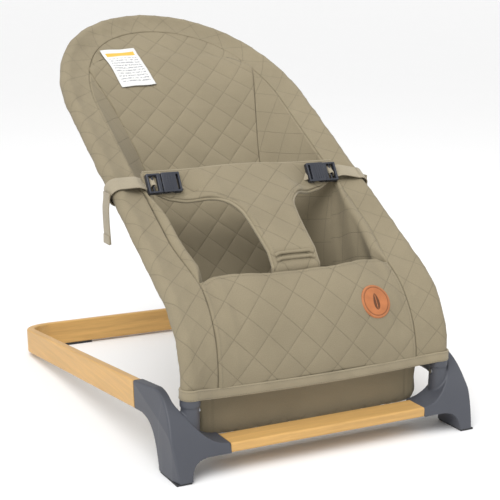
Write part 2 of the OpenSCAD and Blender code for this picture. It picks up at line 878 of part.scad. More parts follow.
module male_half(side) {
  end_x = buckle_len / 2;
  color(clip) placed() on_buckle(side) difference() {
    union() {
      translate([split_x + 0.4, -buckle_w / 2, -buckle_t / 2])
        cube([end_x - split_x - 0.4, buckle_w, buckle_t - 1]);
      translate([seat_x + 11, -tongue_w / 2, -prong_t / 2])
        cube([split_x - seat_x - 8, tongue_w, prong_t]);
    }
    for (x = [end_x - 6.2, end_x - 12.6])
      translate([x, -web_w / 2 - 0.5, -buckle_t])
        cube([3.4, web_w + 1, 2 * buckle_t]);
  }
}

module left_buckle_male() { male_half(-1); }
module right_buckle_male() { male_half(1); }

// One springy prong with its barb in the side window
module prong(side, up) {
  root_x = split_x - 0.05;
  catch_x = window_x + window_len - 0.6;
  tip_x = split_x - prong_len;
  outer_y = buckle_w / 2 - wall - 0.9;
  inner_y = outer_y - 3;
  color(clip) placed() on_buckle(side)
    on_up(up)
      translate([0, 0, -prong_t / 2])
        linear_extrude(height = prong_t)
          polygon([[root_x, inner_y], [root_x, outer_y], [catch_x, outer_y], [catch_x, outer_y + 2.4],
            [tip_x, outer_y - 1], [tip_x, inner_y]]);
}

module on_up(up) {
  if (up < 0)
    mirror([0, 1, 0])
      children();
  else
    children();
}

module left_upper_prong() { prong(-1, 1); }
module left_lower_prong() { prong(-1, -1); }
module right_upper_prong() { prong(1, 1); }
module right_lower_prong() { prong(1, -1); }

// Webbing tab that sews each female half to its wing
module wing_tab(side) {
  color(webbing) placed() on_buckle(side)
    translate([seat_x - 14, -web_w / 2 + 1, -web_t / 2])
      cube([15.8, web_w - 2, web_t]);
}

module left_wing_tab() { wing_tab(-1); }
module right_wing_tab() { wing_tab(1); }

rear_base_tube();
front_crossbar();
left_foot_housing();
right_foot_housing();
left_foot_pad();
right_foot_pad();
rear_floor_pads();
crossbar_screws();
arm_screws();
left_spring_leg();
right_spring_leg();
left_snap_button();
right_snap_button();
left_button_spring();
right_button_spring();
left_side_tube();
right_side_tube();
crown_tube();
frame_joiners();
joiner_rivets();
left_leg_sleeve();
right_leg_sleeve();
left_edge_sleeve();
right_edge_sleeve();
crown_sleeve();
back_panel();
left_gusset();
right_gusset();
seat_pouch();
front_apron();
hem_binding();
harness_panel();
crotch_band();
leather_badge();
care_label();
left_strap();
right_strap();
left_strap_tail();
right_strap_tail();
left_buckle_male();
right_buckle_male();
left_buckle_female();
right_buckle_female();
left_wing_tab();
right_wing_tab();
left_upper_prong();
left_lower_prong();
right_upper_prong();
right_lower_prong();
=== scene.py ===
"""Baby bouncer seat: quilted cover, harness, moulded feet and wood-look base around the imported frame."""

import math

import bmesh
import bpy
import numpy as np
from bpy.props import FloatProperty, FloatVectorProperty, PointerProperty
from mathutils import Matrix, Vector
from mathutils.bvhtree import BVHTree


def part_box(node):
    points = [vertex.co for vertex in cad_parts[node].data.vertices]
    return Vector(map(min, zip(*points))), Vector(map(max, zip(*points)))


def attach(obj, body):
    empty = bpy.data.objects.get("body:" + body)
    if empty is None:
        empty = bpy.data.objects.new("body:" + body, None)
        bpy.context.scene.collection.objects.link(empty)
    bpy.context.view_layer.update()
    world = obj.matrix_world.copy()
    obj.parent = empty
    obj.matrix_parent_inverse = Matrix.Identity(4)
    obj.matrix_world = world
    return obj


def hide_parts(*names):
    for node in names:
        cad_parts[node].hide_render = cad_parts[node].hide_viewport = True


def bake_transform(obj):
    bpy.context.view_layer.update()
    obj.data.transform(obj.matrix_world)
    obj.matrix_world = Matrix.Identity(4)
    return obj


bl_info = {
    "name": "Bouncer Seat",
    "version": (1, 0, 0),
    "blender": (4, 5, 0),
    "location": "View3D > Sidebar > Bouncer",
    "description": "Builds the looks of a quilted baby bouncer seat around its frame",
    "category": "Object",
}

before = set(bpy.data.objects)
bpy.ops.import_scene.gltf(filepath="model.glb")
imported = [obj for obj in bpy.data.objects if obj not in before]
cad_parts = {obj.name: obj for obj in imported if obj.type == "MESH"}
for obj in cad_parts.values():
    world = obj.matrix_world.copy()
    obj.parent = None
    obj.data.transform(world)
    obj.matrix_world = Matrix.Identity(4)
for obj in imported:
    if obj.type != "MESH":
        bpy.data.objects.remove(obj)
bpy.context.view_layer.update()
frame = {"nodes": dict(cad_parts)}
MM = 0.001

# ---- Measures of the frame, in millimetres; y is counted from the crossbar's front face ----

LEG_BOX_LOW, LEG_BOX_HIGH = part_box("right_spring_leg")
FRONT_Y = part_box("front_crossbar")[0].y
TUBE_R = 8.0
SLEEVE_R = 10.8
LEG_X = (LEG_BOX_LOW.x + LEG_BOX_HIGH.x) / 2 / MM
LEG_Y = (LEG_BOX_LOW.y - FRONT_Y) / MM + TUBE_R
INCLINE = math.radians(31.3)
COS_I, SIN_I = math.cos(INCLINE), math.sin(INCLINE)
BEND_Z = 95.0
BEND_R = 120.0
BEND_ANGLE = math.pi / 2 - INCLINE
BEND_LEN = BEND_R * BEND_ANGLE
BEND_CY = LEG_Y + BEND_R
TOP_Y = BEND_CY - BEND_R * math.cos(BEND_ANGLE)
TOP_Z = BEND_Z + BEND_R * math.sin(BEND_ANGLE)
SIDE_LEN = 367.0
SHOULDER_R = 260.0
CROWN_R = 162.0
JOIN = math.acos((SHOULDER_R - LEG_X) / (SHOULDER_R - CROWN_R))
JOIN_S = SIDE_LEN + SHOULDER_R * math.sin(JOIN)
CROWN_S = JOIN_S - CROWN_R * math.sin(JOIN)
HEM_LOW, HEM_HIGH = 84.0, 97.0
HEM_S = -BEND_LEN - BEND_Z + HEM_LOW
SEAM_GAP = 0.6  # from the sleeve's seam to the edge of a panel
APRON_HALF = 136.0  # half width of the front panel at the knees
POST_R = 8.3  # bore of the foot's post, round the spring leg
ARM_SLOPE = math.radians(6.4)
ARM_FAR_Y = 580.0
ARM_TALL = 35.0
REAR_BAR_Y = 0.275  # in metres, where the rear arch turns across
CAMERA_PLACE = (-0.7247, -1.4489, 0.5495)
CAMERA_TURN = (27.784, 12.31, 0.632)  # yaw, pitch and roll in degrees
CAMERA_LENS = 85.9


# ---- Settings that a user would change ----


def length_setting(name, description, default, **more):
    return FloatProperty(name=name, description=description, default=default, unit="LENGTH", **more)


def colour_setting(name, description, default):
    return FloatVectorProperty(
        name=name, description=description, subtype="COLOR", default=default, min=0, max=1
    )


class BouncerSizes(bpy.types.PropertyGroup):
    quilt_pitch: length_setting("Quilt pitch", "Width of one quilted diamond", 0.046, min=0.02)
    quilt_puff: length_setting("Quilt puff", "Height of the padding between quilting lines", 0.0016)
    fabric_thickness: length_setting("Fabric thickness", "Thickness of the quilted cover", 0.0036)
    stitch_pitch: length_setting("Stitch pitch", "Distance between stitches", 0.0034, min=0.001)
    thread_radius: length_setting("Thread radius", "Radius of the sewing thread", 0.00028)
    webbing_width: length_setting("Webbing width", "Width of the harness webbing", 0.022)
    mesh_step: length_setting("Mesh step", "Distance between points on the quilted panels", 0.0014)
    light_power: FloatProperty(
        name="Light power", description="Power of the main softbox", default=14.0, unit="POWER"
    )


class BouncerColours(bpy.types.PropertyGroup):
    cotton: colour_setting("Cotton", "Cover fabric", (0.272, 0.230, 0.153))
    tape: colour_setting("Tape", "Hem and edge tape", (0.288, 0.244, 0.163))
    webbing: colour_setting("Webbing", "Harness webbing", (0.340, 0.293, 0.208))
    wood: colour_setting("Wood", "Wood-look film", (0.640, 0.385, 0.135))
    plastic: colour_setting("Plastic", "Moulded foot housings", (0.062, 0.066, 0.080))
    clip: colour_setting("Clip", "Harness buckles", (0.026, 0.029, 0.040))
    leather: colour_setting("Leather", "Round badge", (0.440, 0.155, 0.055))
    floor: colour_setting("Floor", "Studio floor", (0.90, 0.90, 0.90))


def sizes():
    return bpy.context.scene.bouncer_sizes


def colours():
    return bpy.context.scene.bouncer_colours


# ---- Frame geometry ----


def lerp(a, b, t):
    return a + (b - a) * t


def ease(t):
    t = np.clip(t, 0, 1)
    return t * t * (3 - 2 * t)


def rail(s, n=0.0):
    """Side view of the tube's centreline: y and z at path length s, moved out by n."""
    s, n = np.broadcast_arrays(np.asarray(s, float), np.asarray(n, float))
    turn = BEND_ANGLE + np.clip(s, -BEND_LEN, 0) / BEND_R
    y = np.where(s >= 0, TOP_Y + s * COS_I - n * SIN_I, BEND_CY - (BEND_R + n) * np.cos(turn))
    z = np.where(s >= 0, TOP_Z + s * SIN_I + n * COS_I, BEND_Z + (BEND_R + n) * np.sin(turn))
    straight = s < -BEND_LEN
    return np.where(straight, LEG_Y - n, y), np.where(straight, BEND_Z + s + BEND_LEN, z)


def half_path(length):
    """One half of the frame at a path length: x, s, and the way in x and s to the seat's middle."""
    length = np.asarray(length, float)
    shoulder = np.clip((length - SIDE_LEN) / SHOULDER_R, 0, JOIN)
    crown = JOIN + np.clip((length - SIDE_LEN - SHOULDER_R * JOIN) / CROWN_R, 0, math.pi / 2 - JOIN)
    on_crown = length > SIDE_LEN + SHOULDER_R * JOIN
    angle = np.where(on_crown, crown, shoulder)
    x = np.where(
        on_crown, CROWN_R * np.cos(angle), LEG_X - SHOULDER_R + SHOULDER_R * np.cos(angle)
    )
    s = np.where(
        on_crown,
        CROWN_S + CROWN_R * np.sin(angle),
        np.minimum(length, SIDE_LEN) + SHOULDER_R * np.sin(shoulder),
    )
    return x, s, -np.cos(angle), -np.sin(angle)


HALF_LEN = SIDE_LEN + SHOULDER_R * JOIN + CROWN_R * (math.pi / 2 - JOIN)


def in_frame(points):
    """Millimetres from the crossbar's front face to metres in the model's own axes."""
    p = np.asarray(points, float) * MM
    return p + np.array([0.0, FRONT_Y, 0.0])


def on_incline(x, s, n):
    """Points across, up and out of the frame's plane, as millimetres from the crossbar's front."""
    x, s, n = np.broadcast_arrays(np.asarray(x, float), np.asarray(s, float), np.asarray(n, float))
    y, z = rail(s, n)
    return np.stack([x, y, z], -1)


def spline(points, count):
    """Smooth line through points, as count evenly spaced points."""
    p = np.asarray(points, float)
    a = np.vstack([2 * p[0] - p[1], p, 2 * p[-1] - p[-2]])
    fine = []
    for i in range(1, len(a) - 2):
        t = np.linspace(0, 1, 24, endpoint=False)[:, None]
        p0, p1, p2, p3 = a[i - 1], a[i], a[i + 1], a[i + 2]
        m1, m2 = (p2 - p0) / 2, (p3 - p1) / 2
        fine.append(
            (2 * t**3 - 3 * t**2 + 1) * p1
            + (t**3 - 2 * t**2 + t) * m1
            + (-2 * t**3 + 3 * t**2) * p2
            + (t**3 - t**2) * m2
        )
    fine = np.vstack(fine + [p[-1:]])
    return evenly(fine, count)


def run_along(line):
    """Distance along a line to each of its points."""
    return np.concatenate([[0], np.cumsum(np.linalg.norm(np.diff(line, axis=0), axis=1))])


def headings(line):
    """Unit direction of a line at each of its points."""
    t = np.gradient(line, axis=0)
    return t / np.linalg.norm(t, axis=1, keepdims=True)


def evenly(line, count):
    run = run_along(line)
    at = np.linspace(0, run[-1], count)
    return np.stack([np.interp(at, run, line[:, k]) for k in range(line.shape[1])], -1)


def ripple(u, v, size, seed):
    """Smooth irregular waves of about one size, between -1 and 1."""
    rng = np.random.default_rng(seed)
    total = np.zeros(np.broadcast(u, v).shape)
    for _ in range(7):
        angle = rng.uniform(0, 2 * math.pi)
        wave = size * rng.uniform(0.7, 1.6)
        phase = rng.uniform(0, 2 * math.pi)
        along = u * math.cos(angle) + v * math.sin(angle)
        total = total + np.sin(along * 2 * math.pi / wave + phase)
    return total / 4.5


def fabric():
    """Thickness of the cover, in millimetres."""
    return sizes().fabric_thickness / MM


def quilting(u, v):
    """Height of the padding between diagonal quilting lines, 0 on a line and 1 between them."""
    pitch = sizes().quilt_pitch / MM
    a = np.abs(np.sin(math.pi * (u + v) / pitch))
    b = np.abs(np.sin(math.pi * (u - v) / pitch))
    return (a * b) ** 0.42


# ---- Mesh building ----


def linked(name, data):
    """A new object in the scene."""
    obj = bpy.data.objects.new(name, data)
    bpy.context.scene.collection.objects.link(obj)
    return obj


def from_bmesh(name, bm):
    mesh = bpy.data.meshes.new(name)
    bm.to_mesh(mesh)
    bm.free()
    return linked(name, mesh)


def new_object(name, verts, faces, uv=None):
    """A smooth mesh object from arrays in metres: faces are equal-sided rows of vertex numbers."""
    mesh = bpy.data.meshes.new(name)
    verts = np.asarray(verts, np.float32)
    faces = np.asarray(faces, np.int32)
    sides = faces.shape[1]
    mesh.vertices.add(len(verts))
    mesh.vertices.foreach_set("co", verts.ravel())
    mesh.loops.add(faces.size)
    mesh.loops.foreach_set("vertex_index", faces.ravel())
    mesh.polygons.add(len(faces))
    mesh.polygons.foreach_set("loop_start", np.arange(0, faces.size, sides, dtype=np.int32))
    mesh.update(calc_edges=True)
    mesh.validate()
    if uv is not None:
        layer = mesh.uv_layers.new(name="Panel")
        layer.data.foreach_set("uv", np.asarray(uv, np.float32)[faces.ravel()].ravel())
    mesh.polygons.foreach_set("use_smooth", np.full(len(mesh.polygons), True))
    return linked(name, mesh)


def normals_of(p):
    du = np.gradient(p, axis=1)
    dv = np.gradient(p, axis=0)
    n = np.cross(du, dv)
    return n / np.maximum(np.linalg.norm(n, axis=-1, keepdims=True), 1e-9)


def panel_uv(p):
    """Unrolled position of each grid point: u from the middle column, v along the middle column."""
    rows, cols = p.shape[:2]
    across = np.linalg.norm(np.diff(p, axis=1), axis=-1)
    u = np.concatenate([np.zeros((rows, 1)), np.cumsum(across, axis=1)], axis=1)
    u = u - u[:, cols // 2][:, None]
    along = np.linalg.norm(np.diff(p[:, cols // 2], axis=0), axis=-1)
    v = np.concatenate([[0], np.cumsum(along)])
    return np.stack([u, np.repeat(v[:, None], cols, axis=1)], -1)


def border_round(p, reach):
    """From 0 on the border of a grid to 1 at a distance of reach, in the shape of a rolled edge."""
    uv = panel_uv(p)
    u, v = uv[..., 0], uv[..., 1]
    left = u - u[:, :1]
    right = u[:, -1:] - u
    near = np.minimum(np.minimum(left, right), np.minimum(v - v[0], v[-1] - v))
    t = np.clip(near / reach, 0, 1)
    return np.sqrt(np.maximum(0, 1 - (1 - t) ** 2))


def shell(name, p, thickness, lift=None, under=None, uv=None, edge=2.5, flip=False):
    """A closed padded sheet from a grid of points on its middle, with lift added on its outer face."""
    rows, cols = p.shape[:2]
    n = normals_of(p)
    if flip:
        n = -n
    uv = panel_uv(p) if uv is None else uv
    full = border_round(p, edge)
    lift = np.zeros((rows, cols)) if lift is None else lift
    under = np.zeros((rows, cols)) if under is None else under
    top = p + n * ((thickness / 2 + lift) * full)[..., None]
    low = p - n * ((thickness / 2 + under) * full)[..., None]
    number = np.arange(rows * cols).reshape(rows, cols)
    below = number.copy()
    inner = np.zeros((rows, cols), bool)
    inner[1:-1, 1:-1] = True
    below[inner] = rows * cols + np.arange(inner.sum())
    verts = np.vstack([top.reshape(-1, 3), low[inner]])
    coords = np.vstack([uv.reshape(-1, 2), uv[inner]]) * MM

    def quads(ids, turned):
        q = np.stack([ids[:-1, :-1], ids[:-1, 1:], ids[1:, 1:], ids[1:, :-1]], -1).reshape(-1, 4)
        return q[:, ::-1] if turned else q

    faces = np.vstack([quads(number, flip), quads(below, not flip)])
    return new_object(name, in_frame(verts), faces, coords)


def tube(name, rings, uv=None):
    """A closed skin over rings of points; each ring runs round, rings run along."""
    r = np.asarray(rings, float)
    count, sides = r.shape[:2]
    ids = np.arange(count * sides).reshape(count, sides)
    after = np.roll(ids, -1, axis=1)
    faces = np.stack([ids[:-1], after[:-1], after[1:], ids[1:]], -1).reshape(-1, 4)
    verts = np.vstack([r.reshape(-1, 3), r[0].mean(0), r[-1].mean(0)])
    first, last = count * sides, count * sides + 1
    if uv is not None:
        uv = np.vstack([uv, uv[:1], uv[-1:]])
    obj = new_object(name, in_frame(verts), faces, uv)
    bm = bmesh.new()
    bm.from_mesh(obj.data)
    bm.verts.ensure_lookup_table()
    for k in range(sides):
        caps = ((first, after[0, k], ids[0, k]), (last, ids[-1, k], after[-1, k]))
        for corners in caps:
            bm.faces.new([bm.verts[c] for c in corners]).smooth = True
    bmesh.ops.recalc_face_normals(bm, faces=bm.faces)
    bm.to_mesh(obj.data)
    bm.free()
    return obj


def sweep(name, line, outline, up=(0.0, 0.0, 1.0)):
    """A closed bar whose outline, across and up, follows a line of points in millimetres."""
    p = np.asarray(line, float)
    t = headings(p)
    up = np.broadcast_to(np.asarray(up, float), p.shape)
    side = np.cross(t, up)
    side = side / np.maximum(np.linalg.norm(side, axis=1, keepdims=True), 1e-9)
    out = np.cross(side, t)
    o = np.asarray(outline, float)
    rings = p[:, None] + side[:, None] * o[None, :, :1] + out[:, None] * o[None, :, 1:]
    uv = np.broadcast_arrays(run_along(o)[None, :], run_along(p)[:, None])
    uv = np.stack(uv, -1).reshape(-1, 2) * MM
    return tube(name, rings, uv=uv)


def round_outline(width, height, count=12):
    """An oval outline for piping and cords."""
    a = np.linspace(0, 2 * math.pi, count, endpoint=False)
    return np.stack([np.cos(a) * width / 2, np.sin(a) * height / 2], -1)


def flat_outline(width, height, corner=0.5, count=4):
    """A flat rectangle with rounded corners, for webbing and tape."""
    points = []
    for cx, cy, start in ((1, 1, 0), (-1, 1, 90), (-1, -1, 180), (1, -1, 270)):
        for k in range(count):
            a = math.radians(start + 90 * k / (count - 1))
            points.append(
                (
                    cx * (width / 2 - corner) + corner * math.cos(a),
                    cy * (height / 2 - corner) + corner * math.sin(a),
                )
            )
    return np.array(points)


def moulded(name, boxes, cuts=(), bevel=0.6, segments=3):
    """A moulded block: boxes less cuts, each (low, high) in millimetres, with rounded edges."""
    bm = bmesh.new()
    for low, high in boxes:
        made = bmesh.ops.create_cube(bm, size=1.0)
        size = Vector(high) - Vector(low)
        mid = (Vector(high) + Vector(low)) / 2
        bmesh.ops.scale(bm, vec=size, verts=made["verts"])
        bmesh.ops.translate(bm, vec=mid, verts=made["verts"])
    obj = from_bmesh(name, bm)
    for box in cuts:
        boolean(obj, moulded(name + "_cut", [box], (), 0), "DIFFERENCE")
    if bevel:
        change = obj.modifiers.new("edges", "BEVEL")
        change.width = bevel
        change.segments = segments
        change.limit_method = "ANGLE"
        change.angle_limit = math.radians(35)
        flatten(obj)
        obj.data.polygons.foreach_set("use_smooth", np.full(len(obj.data.polygons), True))
    return obj


def boolean(obj, other, operation):
    """Joins, cuts or intersects obj with another object, which is used up."""
    change = obj.modifiers.new("join", "BOOLEAN")
    change.operation = operation
    change.solver = "EXACT"
    change.object = other
    flatten(obj)
    bpy.data.objects.remove(other)


def flatten(obj):
    """Turns a mesh object with modifiers into its plain result."""
    graph = bpy.context.evaluated_depsgraph_get()
    graph.update()
    mesh = bpy.data.meshes.new_from_object(
        obj.evaluated_get(graph), preserve_all_data_layers=True, depsgraph=graph
    )
    obj.modifiers.clear()
    old = obj.data
    obj.data = mesh
    bpy.data.meshes.remove(old)


def joined(name, parts):
    """Several mesh objects as one, which starts with no material."""
    bm = bmesh.new()
    for part in parts:
        part.data.transform(part.matrix_world)
        bm.from_mesh(part.data)
    for part in parts:
        bpy.data.objects.remove(part)
    return from_bmesh(name, bm)


# ---- Shader groups and materials ----


def group_socket(tree, name, kind, default=None, out=False):
    way = "OUTPUT" if out else "INPUT"
    socket = tree.interface.new_socket(name=name, in_out=way, socket_type=kind)
    if default is not None:
        socket.default_value = default


def noise(tree, vector, scale, detail=2.0, distortion=0.0):
    node = tree.nodes.new("ShaderNodeTexNoise")
    node.inputs["Scale"].default_value = scale
    node.inputs["Detail"].default_value = detail
    node.inputs["Distortion"].default_value = distortion
    tree.links.new(vector, node.inputs["Vector"])
    return node.outputs["Fac"]


def product(tree, a, b):
    return math_node(tree, "MULTIPLY", a, b)


def sum_of(tree, a, b):
    return math_node(tree, "ADD", a, b)


def math_node(tree, operation, a, b=None):
    node = tree.nodes.new("ShaderNodeMath")
    node.operation = operation
    for socket, value in zip(node.inputs, (a, b)):
        if value is None:
            continue
        if isinstance(value, (int, float)):
            socket.default_value = value
        else:
            tree.links.new(value, socket)
    return node.outputs[0]


def shader_group(name, build):
    """A node group made once, by name."""
    found = bpy.data.node_groups.get(name)
    if found:
        return found
    tree = bpy.data.node_groups.new(name, "ShaderNodeTree")
    build(tree)
    return tree


def woven_threads(tree):
    """Plain weave on a panel's own flat coordinates: height of the threads and their shade."""
    group_socket(tree, "Flat", "NodeSocketVector")
    group_socket(tree, "Threads per metre", "NodeSocketFloat", 1100.0)
    group_socket(tree, "Height", "NodeSocketFloat", out=True)
    group_socket(tree, "Shade", "NodeSocketFloat", out=True)
    inp, out = tree.nodes.new("NodeGroupInput"), tree.nodes.new("NodeGroupOutput")
    split = tree.nodes.new("ShaderNodeSeparateXYZ")
    tree.links.new(inp.outputs["Flat"], split.inputs[0])
    waves = []
    for axis in ("X", "Y"):
        turns = product(tree, split.outputs[axis], inp.outputs["Threads per metre"])
        wave = math_node(tree, "SINE", product(tree, turns, math.pi))
        waves.append(math_node(tree, "ABSOLUTE", wave))
    height = math_node(tree, "MAXIMUM", waves[0], waves[1])
    tree.links.new(height, out.inputs["Height"])
    tree.links.new(noise(tree, inp.outputs["Flat"], 900.0, 3.0), out.inputs["Shade"])


def quilt_seams(tree):
    """Diagonal quilting lines: 1 in the middle of a line of thread, and its dashes."""
    group_socket(tree, "Flat", "NodeSocketVector")
    group_socket(tree, "Pitch", "NodeSocketFloat", 0.046)
    group_socket(tree, "Line width", "NodeSocketFloat", 0.0012)
    group_socket(tree, "Stitch pitch", "NodeSocketFloat", 0.0034)
    group_socket(tree, "Line", "NodeSocketFloat", out=True)
    group_socket(tree, "Thread", "NodeSocketFloat", out=True)
    inp, out = tree.nodes.new("NodeGroupInput"), tree.nodes.new("NodeGroupOutput")
    split = tree.nodes.new("ShaderNodeSeparateXYZ")
    tree.links.new(inp.outputs["Flat"], split.inputs[0])
    plus = math_node(tree, "ADD", split.outputs["X"], split.outputs["Y"])
    minus = math_node(tree, "SUBTRACT", split.outputs["X"], split.outputs["Y"])
    lines, threads = [], []
    for across, along in ((plus, minus), (minus, plus)):
        cell = math_node(tree, "DIVIDE", across, inp.outputs["Pitch"])
        near = math_node(tree, "PINGPONG", cell, 0.5)
        far = product(tree, near, inp.outputs["Pitch"])
        share = math_node(tree, "DIVIDE", far, inp.outputs["Line width"])
        line = math_node(tree, "SUBTRACT", 1.0, math_node(tree, "MINIMUM", share, 1.0))
        stitches = math_node(tree, "DIVIDE", along, inp.outputs["Stitch pitch"])
        dash = math_node(tree, "SINE", product(tree, stitches, 2 * math.pi))
        shown = math_node(tree, "GREATER_THAN", dash, -0.35)
        lines.append(line)
        threads.append(product(tree, line, shown))
    tree.links.new(math_node(tree, "MAXIMUM", *lines), out.inputs["Line"])
    tree.links.new(math_node(tree, "MAXIMUM", *threads), out.inputs["Thread"])


def soft_blotches(tree):
    """Slow changes of shade over a piece, from its place in the object."""
    group_socket(tree, "Scale", "NodeSocketFloat", 18.0)
    group_socket(tree, "Fine scale", "NodeSocketFloat", 240.0)
    group_socket(tree, "Shade", "NodeSocketFloat", out=True)
    group_socket(tree, "Fine", "NodeSocketFloat", out=True)
    inp, out = tree.nodes.new("NodeGroupInput"), tree.nodes.new("NodeGroupOutput")
    place = tree.nodes.new("ShaderNodeTexCoord")
    for scale, name, detail in (("Scale", "Shade", 4.0), ("Fine scale", "Fine", 5.0)):
        clouds = tree.nodes.new("ShaderNodeTexNoise")
        clouds.inputs["Detail"].default_value = detail
        tree.links.new(place.outputs["Object"], clouds.inputs["Vector"])
        tree.links.new(inp.outputs[scale], clouds.inputs["Scale"])
        tree.links.new(clouds.outputs["Fac"], out.inputs[name])


def new_material(name, rough, **plain):
    """A material with one Principled shader; plain values are set on its own sockets."""
    mat = bpy.data.materials.new(name)
    mat.use_nodes = True
    tree = mat.node_tree
    shader = tree.nodes["Principled BSDF"]
    shader.inputs["Roughness"].default_value = rough
    for key, value in plain.items():
        shader.inputs[key.replace("_", " ")].default_value = value
    return mat, tree, shader


def add_group(tree, name, build, **values):
    node = tree.nodes.new("ShaderNodeGroup")
    node.node_tree = shader_group(name, build)
    for key, value in values.items():
        node.inputs[key.replace("_", " ")].default_value = value
    return node


def shaded(tree, colour, fac, dark=0.85, light=1.08):
    """A colour that runs from darker to lighter as fac goes from 0.3 to 0.7."""
    ramp = tree.nodes.new("ShaderNodeValToRGB")
    ramp.color_ramp.elements[0].position = 0.3
    ramp.color_ramp.elements[1].position = 0.7
    ramp.color_ramp.elements[0].color = (*[c * dark for c in colour], 1)
    ramp.color_ramp.elements[1].color = (*[min(1, c * light) for c in colour], 1)
    tree.links.new(fac, ramp.inputs["Fac"])
    return ramp.outputs["Color"]


def mixed(tree, fac, a, b, mode="MIX"):
    node = tree.nodes.new("ShaderNodeMix")
    node.data_type = "RGBA"
    node.blend_type = mode
    for socket, value in ((node.inputs[0], fac), (node.inputs[6], a), (node.inputs[7], b)):
        if isinstance(value, (int, float, tuple)):
            socket.default_value = value
        else:
            tree.links.new(value, socket)
    return node.outputs[2]


def bump(tree, shader, height, distance, strength=1.0):
    node = tree.nodes.new("ShaderNodeBump")
    node.inputs["Distance"].default_value = distance
    node.inputs["Strength"].default_value = strength
    tree.links.new(height, node.inputs["Height"])
    tree.links.new(node.outputs["Normal"], shader.inputs["Normal"])


def flat_coords(tree):
    node = tree.nodes.new("ShaderNodeUVMap")
    node.uv_map = "Panel"
    return node.outputs["UV"]


def quilted_cotton(name="Quilted cotton", quilted=True):
    found = bpy.data.materials.get(name)
    if found:
        return found
    colour = tuple(colours().cotton)
    mat, tree, shader = new_material(
        name, 0.86, Sheen_Weight=0.06, Sheen_Roughness=0.5, Specular_IOR_Level=0.16
    )
    flat = flat_coords(tree)
    weave = add_group(tree, "Woven threads", woven_threads, Threads_per_metre=1250.0)
    tree.links.new(flat, weave.inputs["Flat"])
    blotch = add_group(tree, "Soft blotches", soft_blotches, Scale=14.0, Fine_scale=420.0)
    base = shaded(tree, colour, blotch.outputs["Shade"], 0.93, 1.05)
    fleck = shaded(tree, (0.97, 0.97, 0.97), weave.outputs["Shade"], 0.90, 1.03)
    base = mixed(tree, 1.0, base, fleck, "MULTIPLY")
    height = product(tree, weave.outputs["Height"], 0.25)
    slub = product(tree, blotch.outputs["Fine"], 0.5)
    height = sum_of(tree, height, slub)
    if quilted:
        seams = add_group(
            tree, "Quilt seams", quilt_seams,
            Pitch=sizes().quilt_pitch, Line_width=0.0011, Stitch_pitch=sizes().stitch_pitch,
        )
        tree.links.new(flat, seams.inputs["Flat"])
        # Painted shade: the quilting grooves are darkened in the colour, on the same mask that presses
        # them in with the bump.
        dark = tuple(c * 0.60 for c in colour) + (1.0,)
        off = tree.nodes.new("ShaderNodeAttribute")
        off.attribute_name = "Plain"
        shown = math_node(tree, "SUBTRACT", 1.0, off.outputs["Fac"])
        line = product(tree, seams.outputs["Line"], shown)
        base = mixed(tree, product(tree, line, 0.62), base, dark)
        thread = product(tree, product(tree, seams.outputs["Thread"], shown), 0.8)
        height = math_node(tree, "SUBTRACT", height, product(tree, line, 1.4))
        height = sum_of(tree, height, thread)
    tree.links.new(base, shader.inputs["Base Color"])
    bump(tree, shader, height, 0.0004, 0.7)
    return mat


def tape_cloth():
    """Narrow cotton tape with a slightly coarser weave than the cover."""
    found = bpy.data.materials.get("Twill tape")
    if found:
        return found
    colour = tuple(colours().tape)
    mat, tree, shader = new_material(
        "Twill tape", 0.84, Sheen_Weight=0.2, Sheen_Roughness=0.5, Specular_IOR_Level=0.2
    )
    blotch = add_group(tree, "Soft blotches", soft_blotches, Scale=30.0, Fine_scale=500.0)
    weave = add_group(tree, "Woven threads", woven_threads, Threads_per_metre=900.0)
    tree.links.new(flat_coords(tree), weave.inputs["Flat"])
    base = shaded(tree, colour, blotch.outputs["Shade"], 0.90, 1.06)
    tree.links.new(base, shader.inputs["Base Color"])
    height = sum_of(tree, product(tree, weave.outputs["Height"], 0.5), blotch.outputs["Fine"])
    bump(tree, shader, height, 0.0004, 0.7)
    return mat


def strap_webbing():
    """Ribbed webbing: ribs across the strap, with painted shade in the gaps between them."""
    found = bpy.data.materials.get("Strap webbing")
    if found:
        return found
    colour = tuple(colours().webbing)
    mat, tree, shader = new_material("Strap webbing", 0.72, Sheen_Weight=0.15, Specular_IOR_Level=0.3)
    weave = add_group(tree, "Woven threads", woven_threads, Threads_per_metre=620.0)
    tree.links.new(flat_coords(tree), weave.inputs["Flat"])
    blotch = add_group(tree, "Soft blotches", soft_blotches, Scale=40.0, Fine_scale=700.0)
    # Painted shade: the colour darkens where the weave's height is low, in the gaps that the bump also
    # presses in.
    base = shaded(tree, colour, weave.outputs["Height"], 0.72, 1.04)
    base = mixed(tree, 0.4, base, shaded(tree, colour, blotch.outputs["Shade"]))
    tree.links.new(base, shader.inputs["Base Color"])
    bump(tree, shader, weave.outputs["Height"], 0.0005, 0.8)
    return mat


def thread_material():
    found = bpy.data.materials.get("Sewing thread")
    if found:
        return found
    colour = tuple(c * 0.80 for c in colours().cotton)
    mat, tree, shader = new_material("Sewing thread", 0.7, Sheen_Weight=0.2)
    blotch = add_group(tree, "Soft blotches", soft_blotches, Scale=200.0, Fine_scale=2600.0)
    tree.links.new(shaded(tree, colour, blotch.outputs["Fine"], 0.8, 1.1), shader.inputs["Base Color"])
    bump(tree, shader, blotch.outputs["Fine"], 0.0001)
    return mat


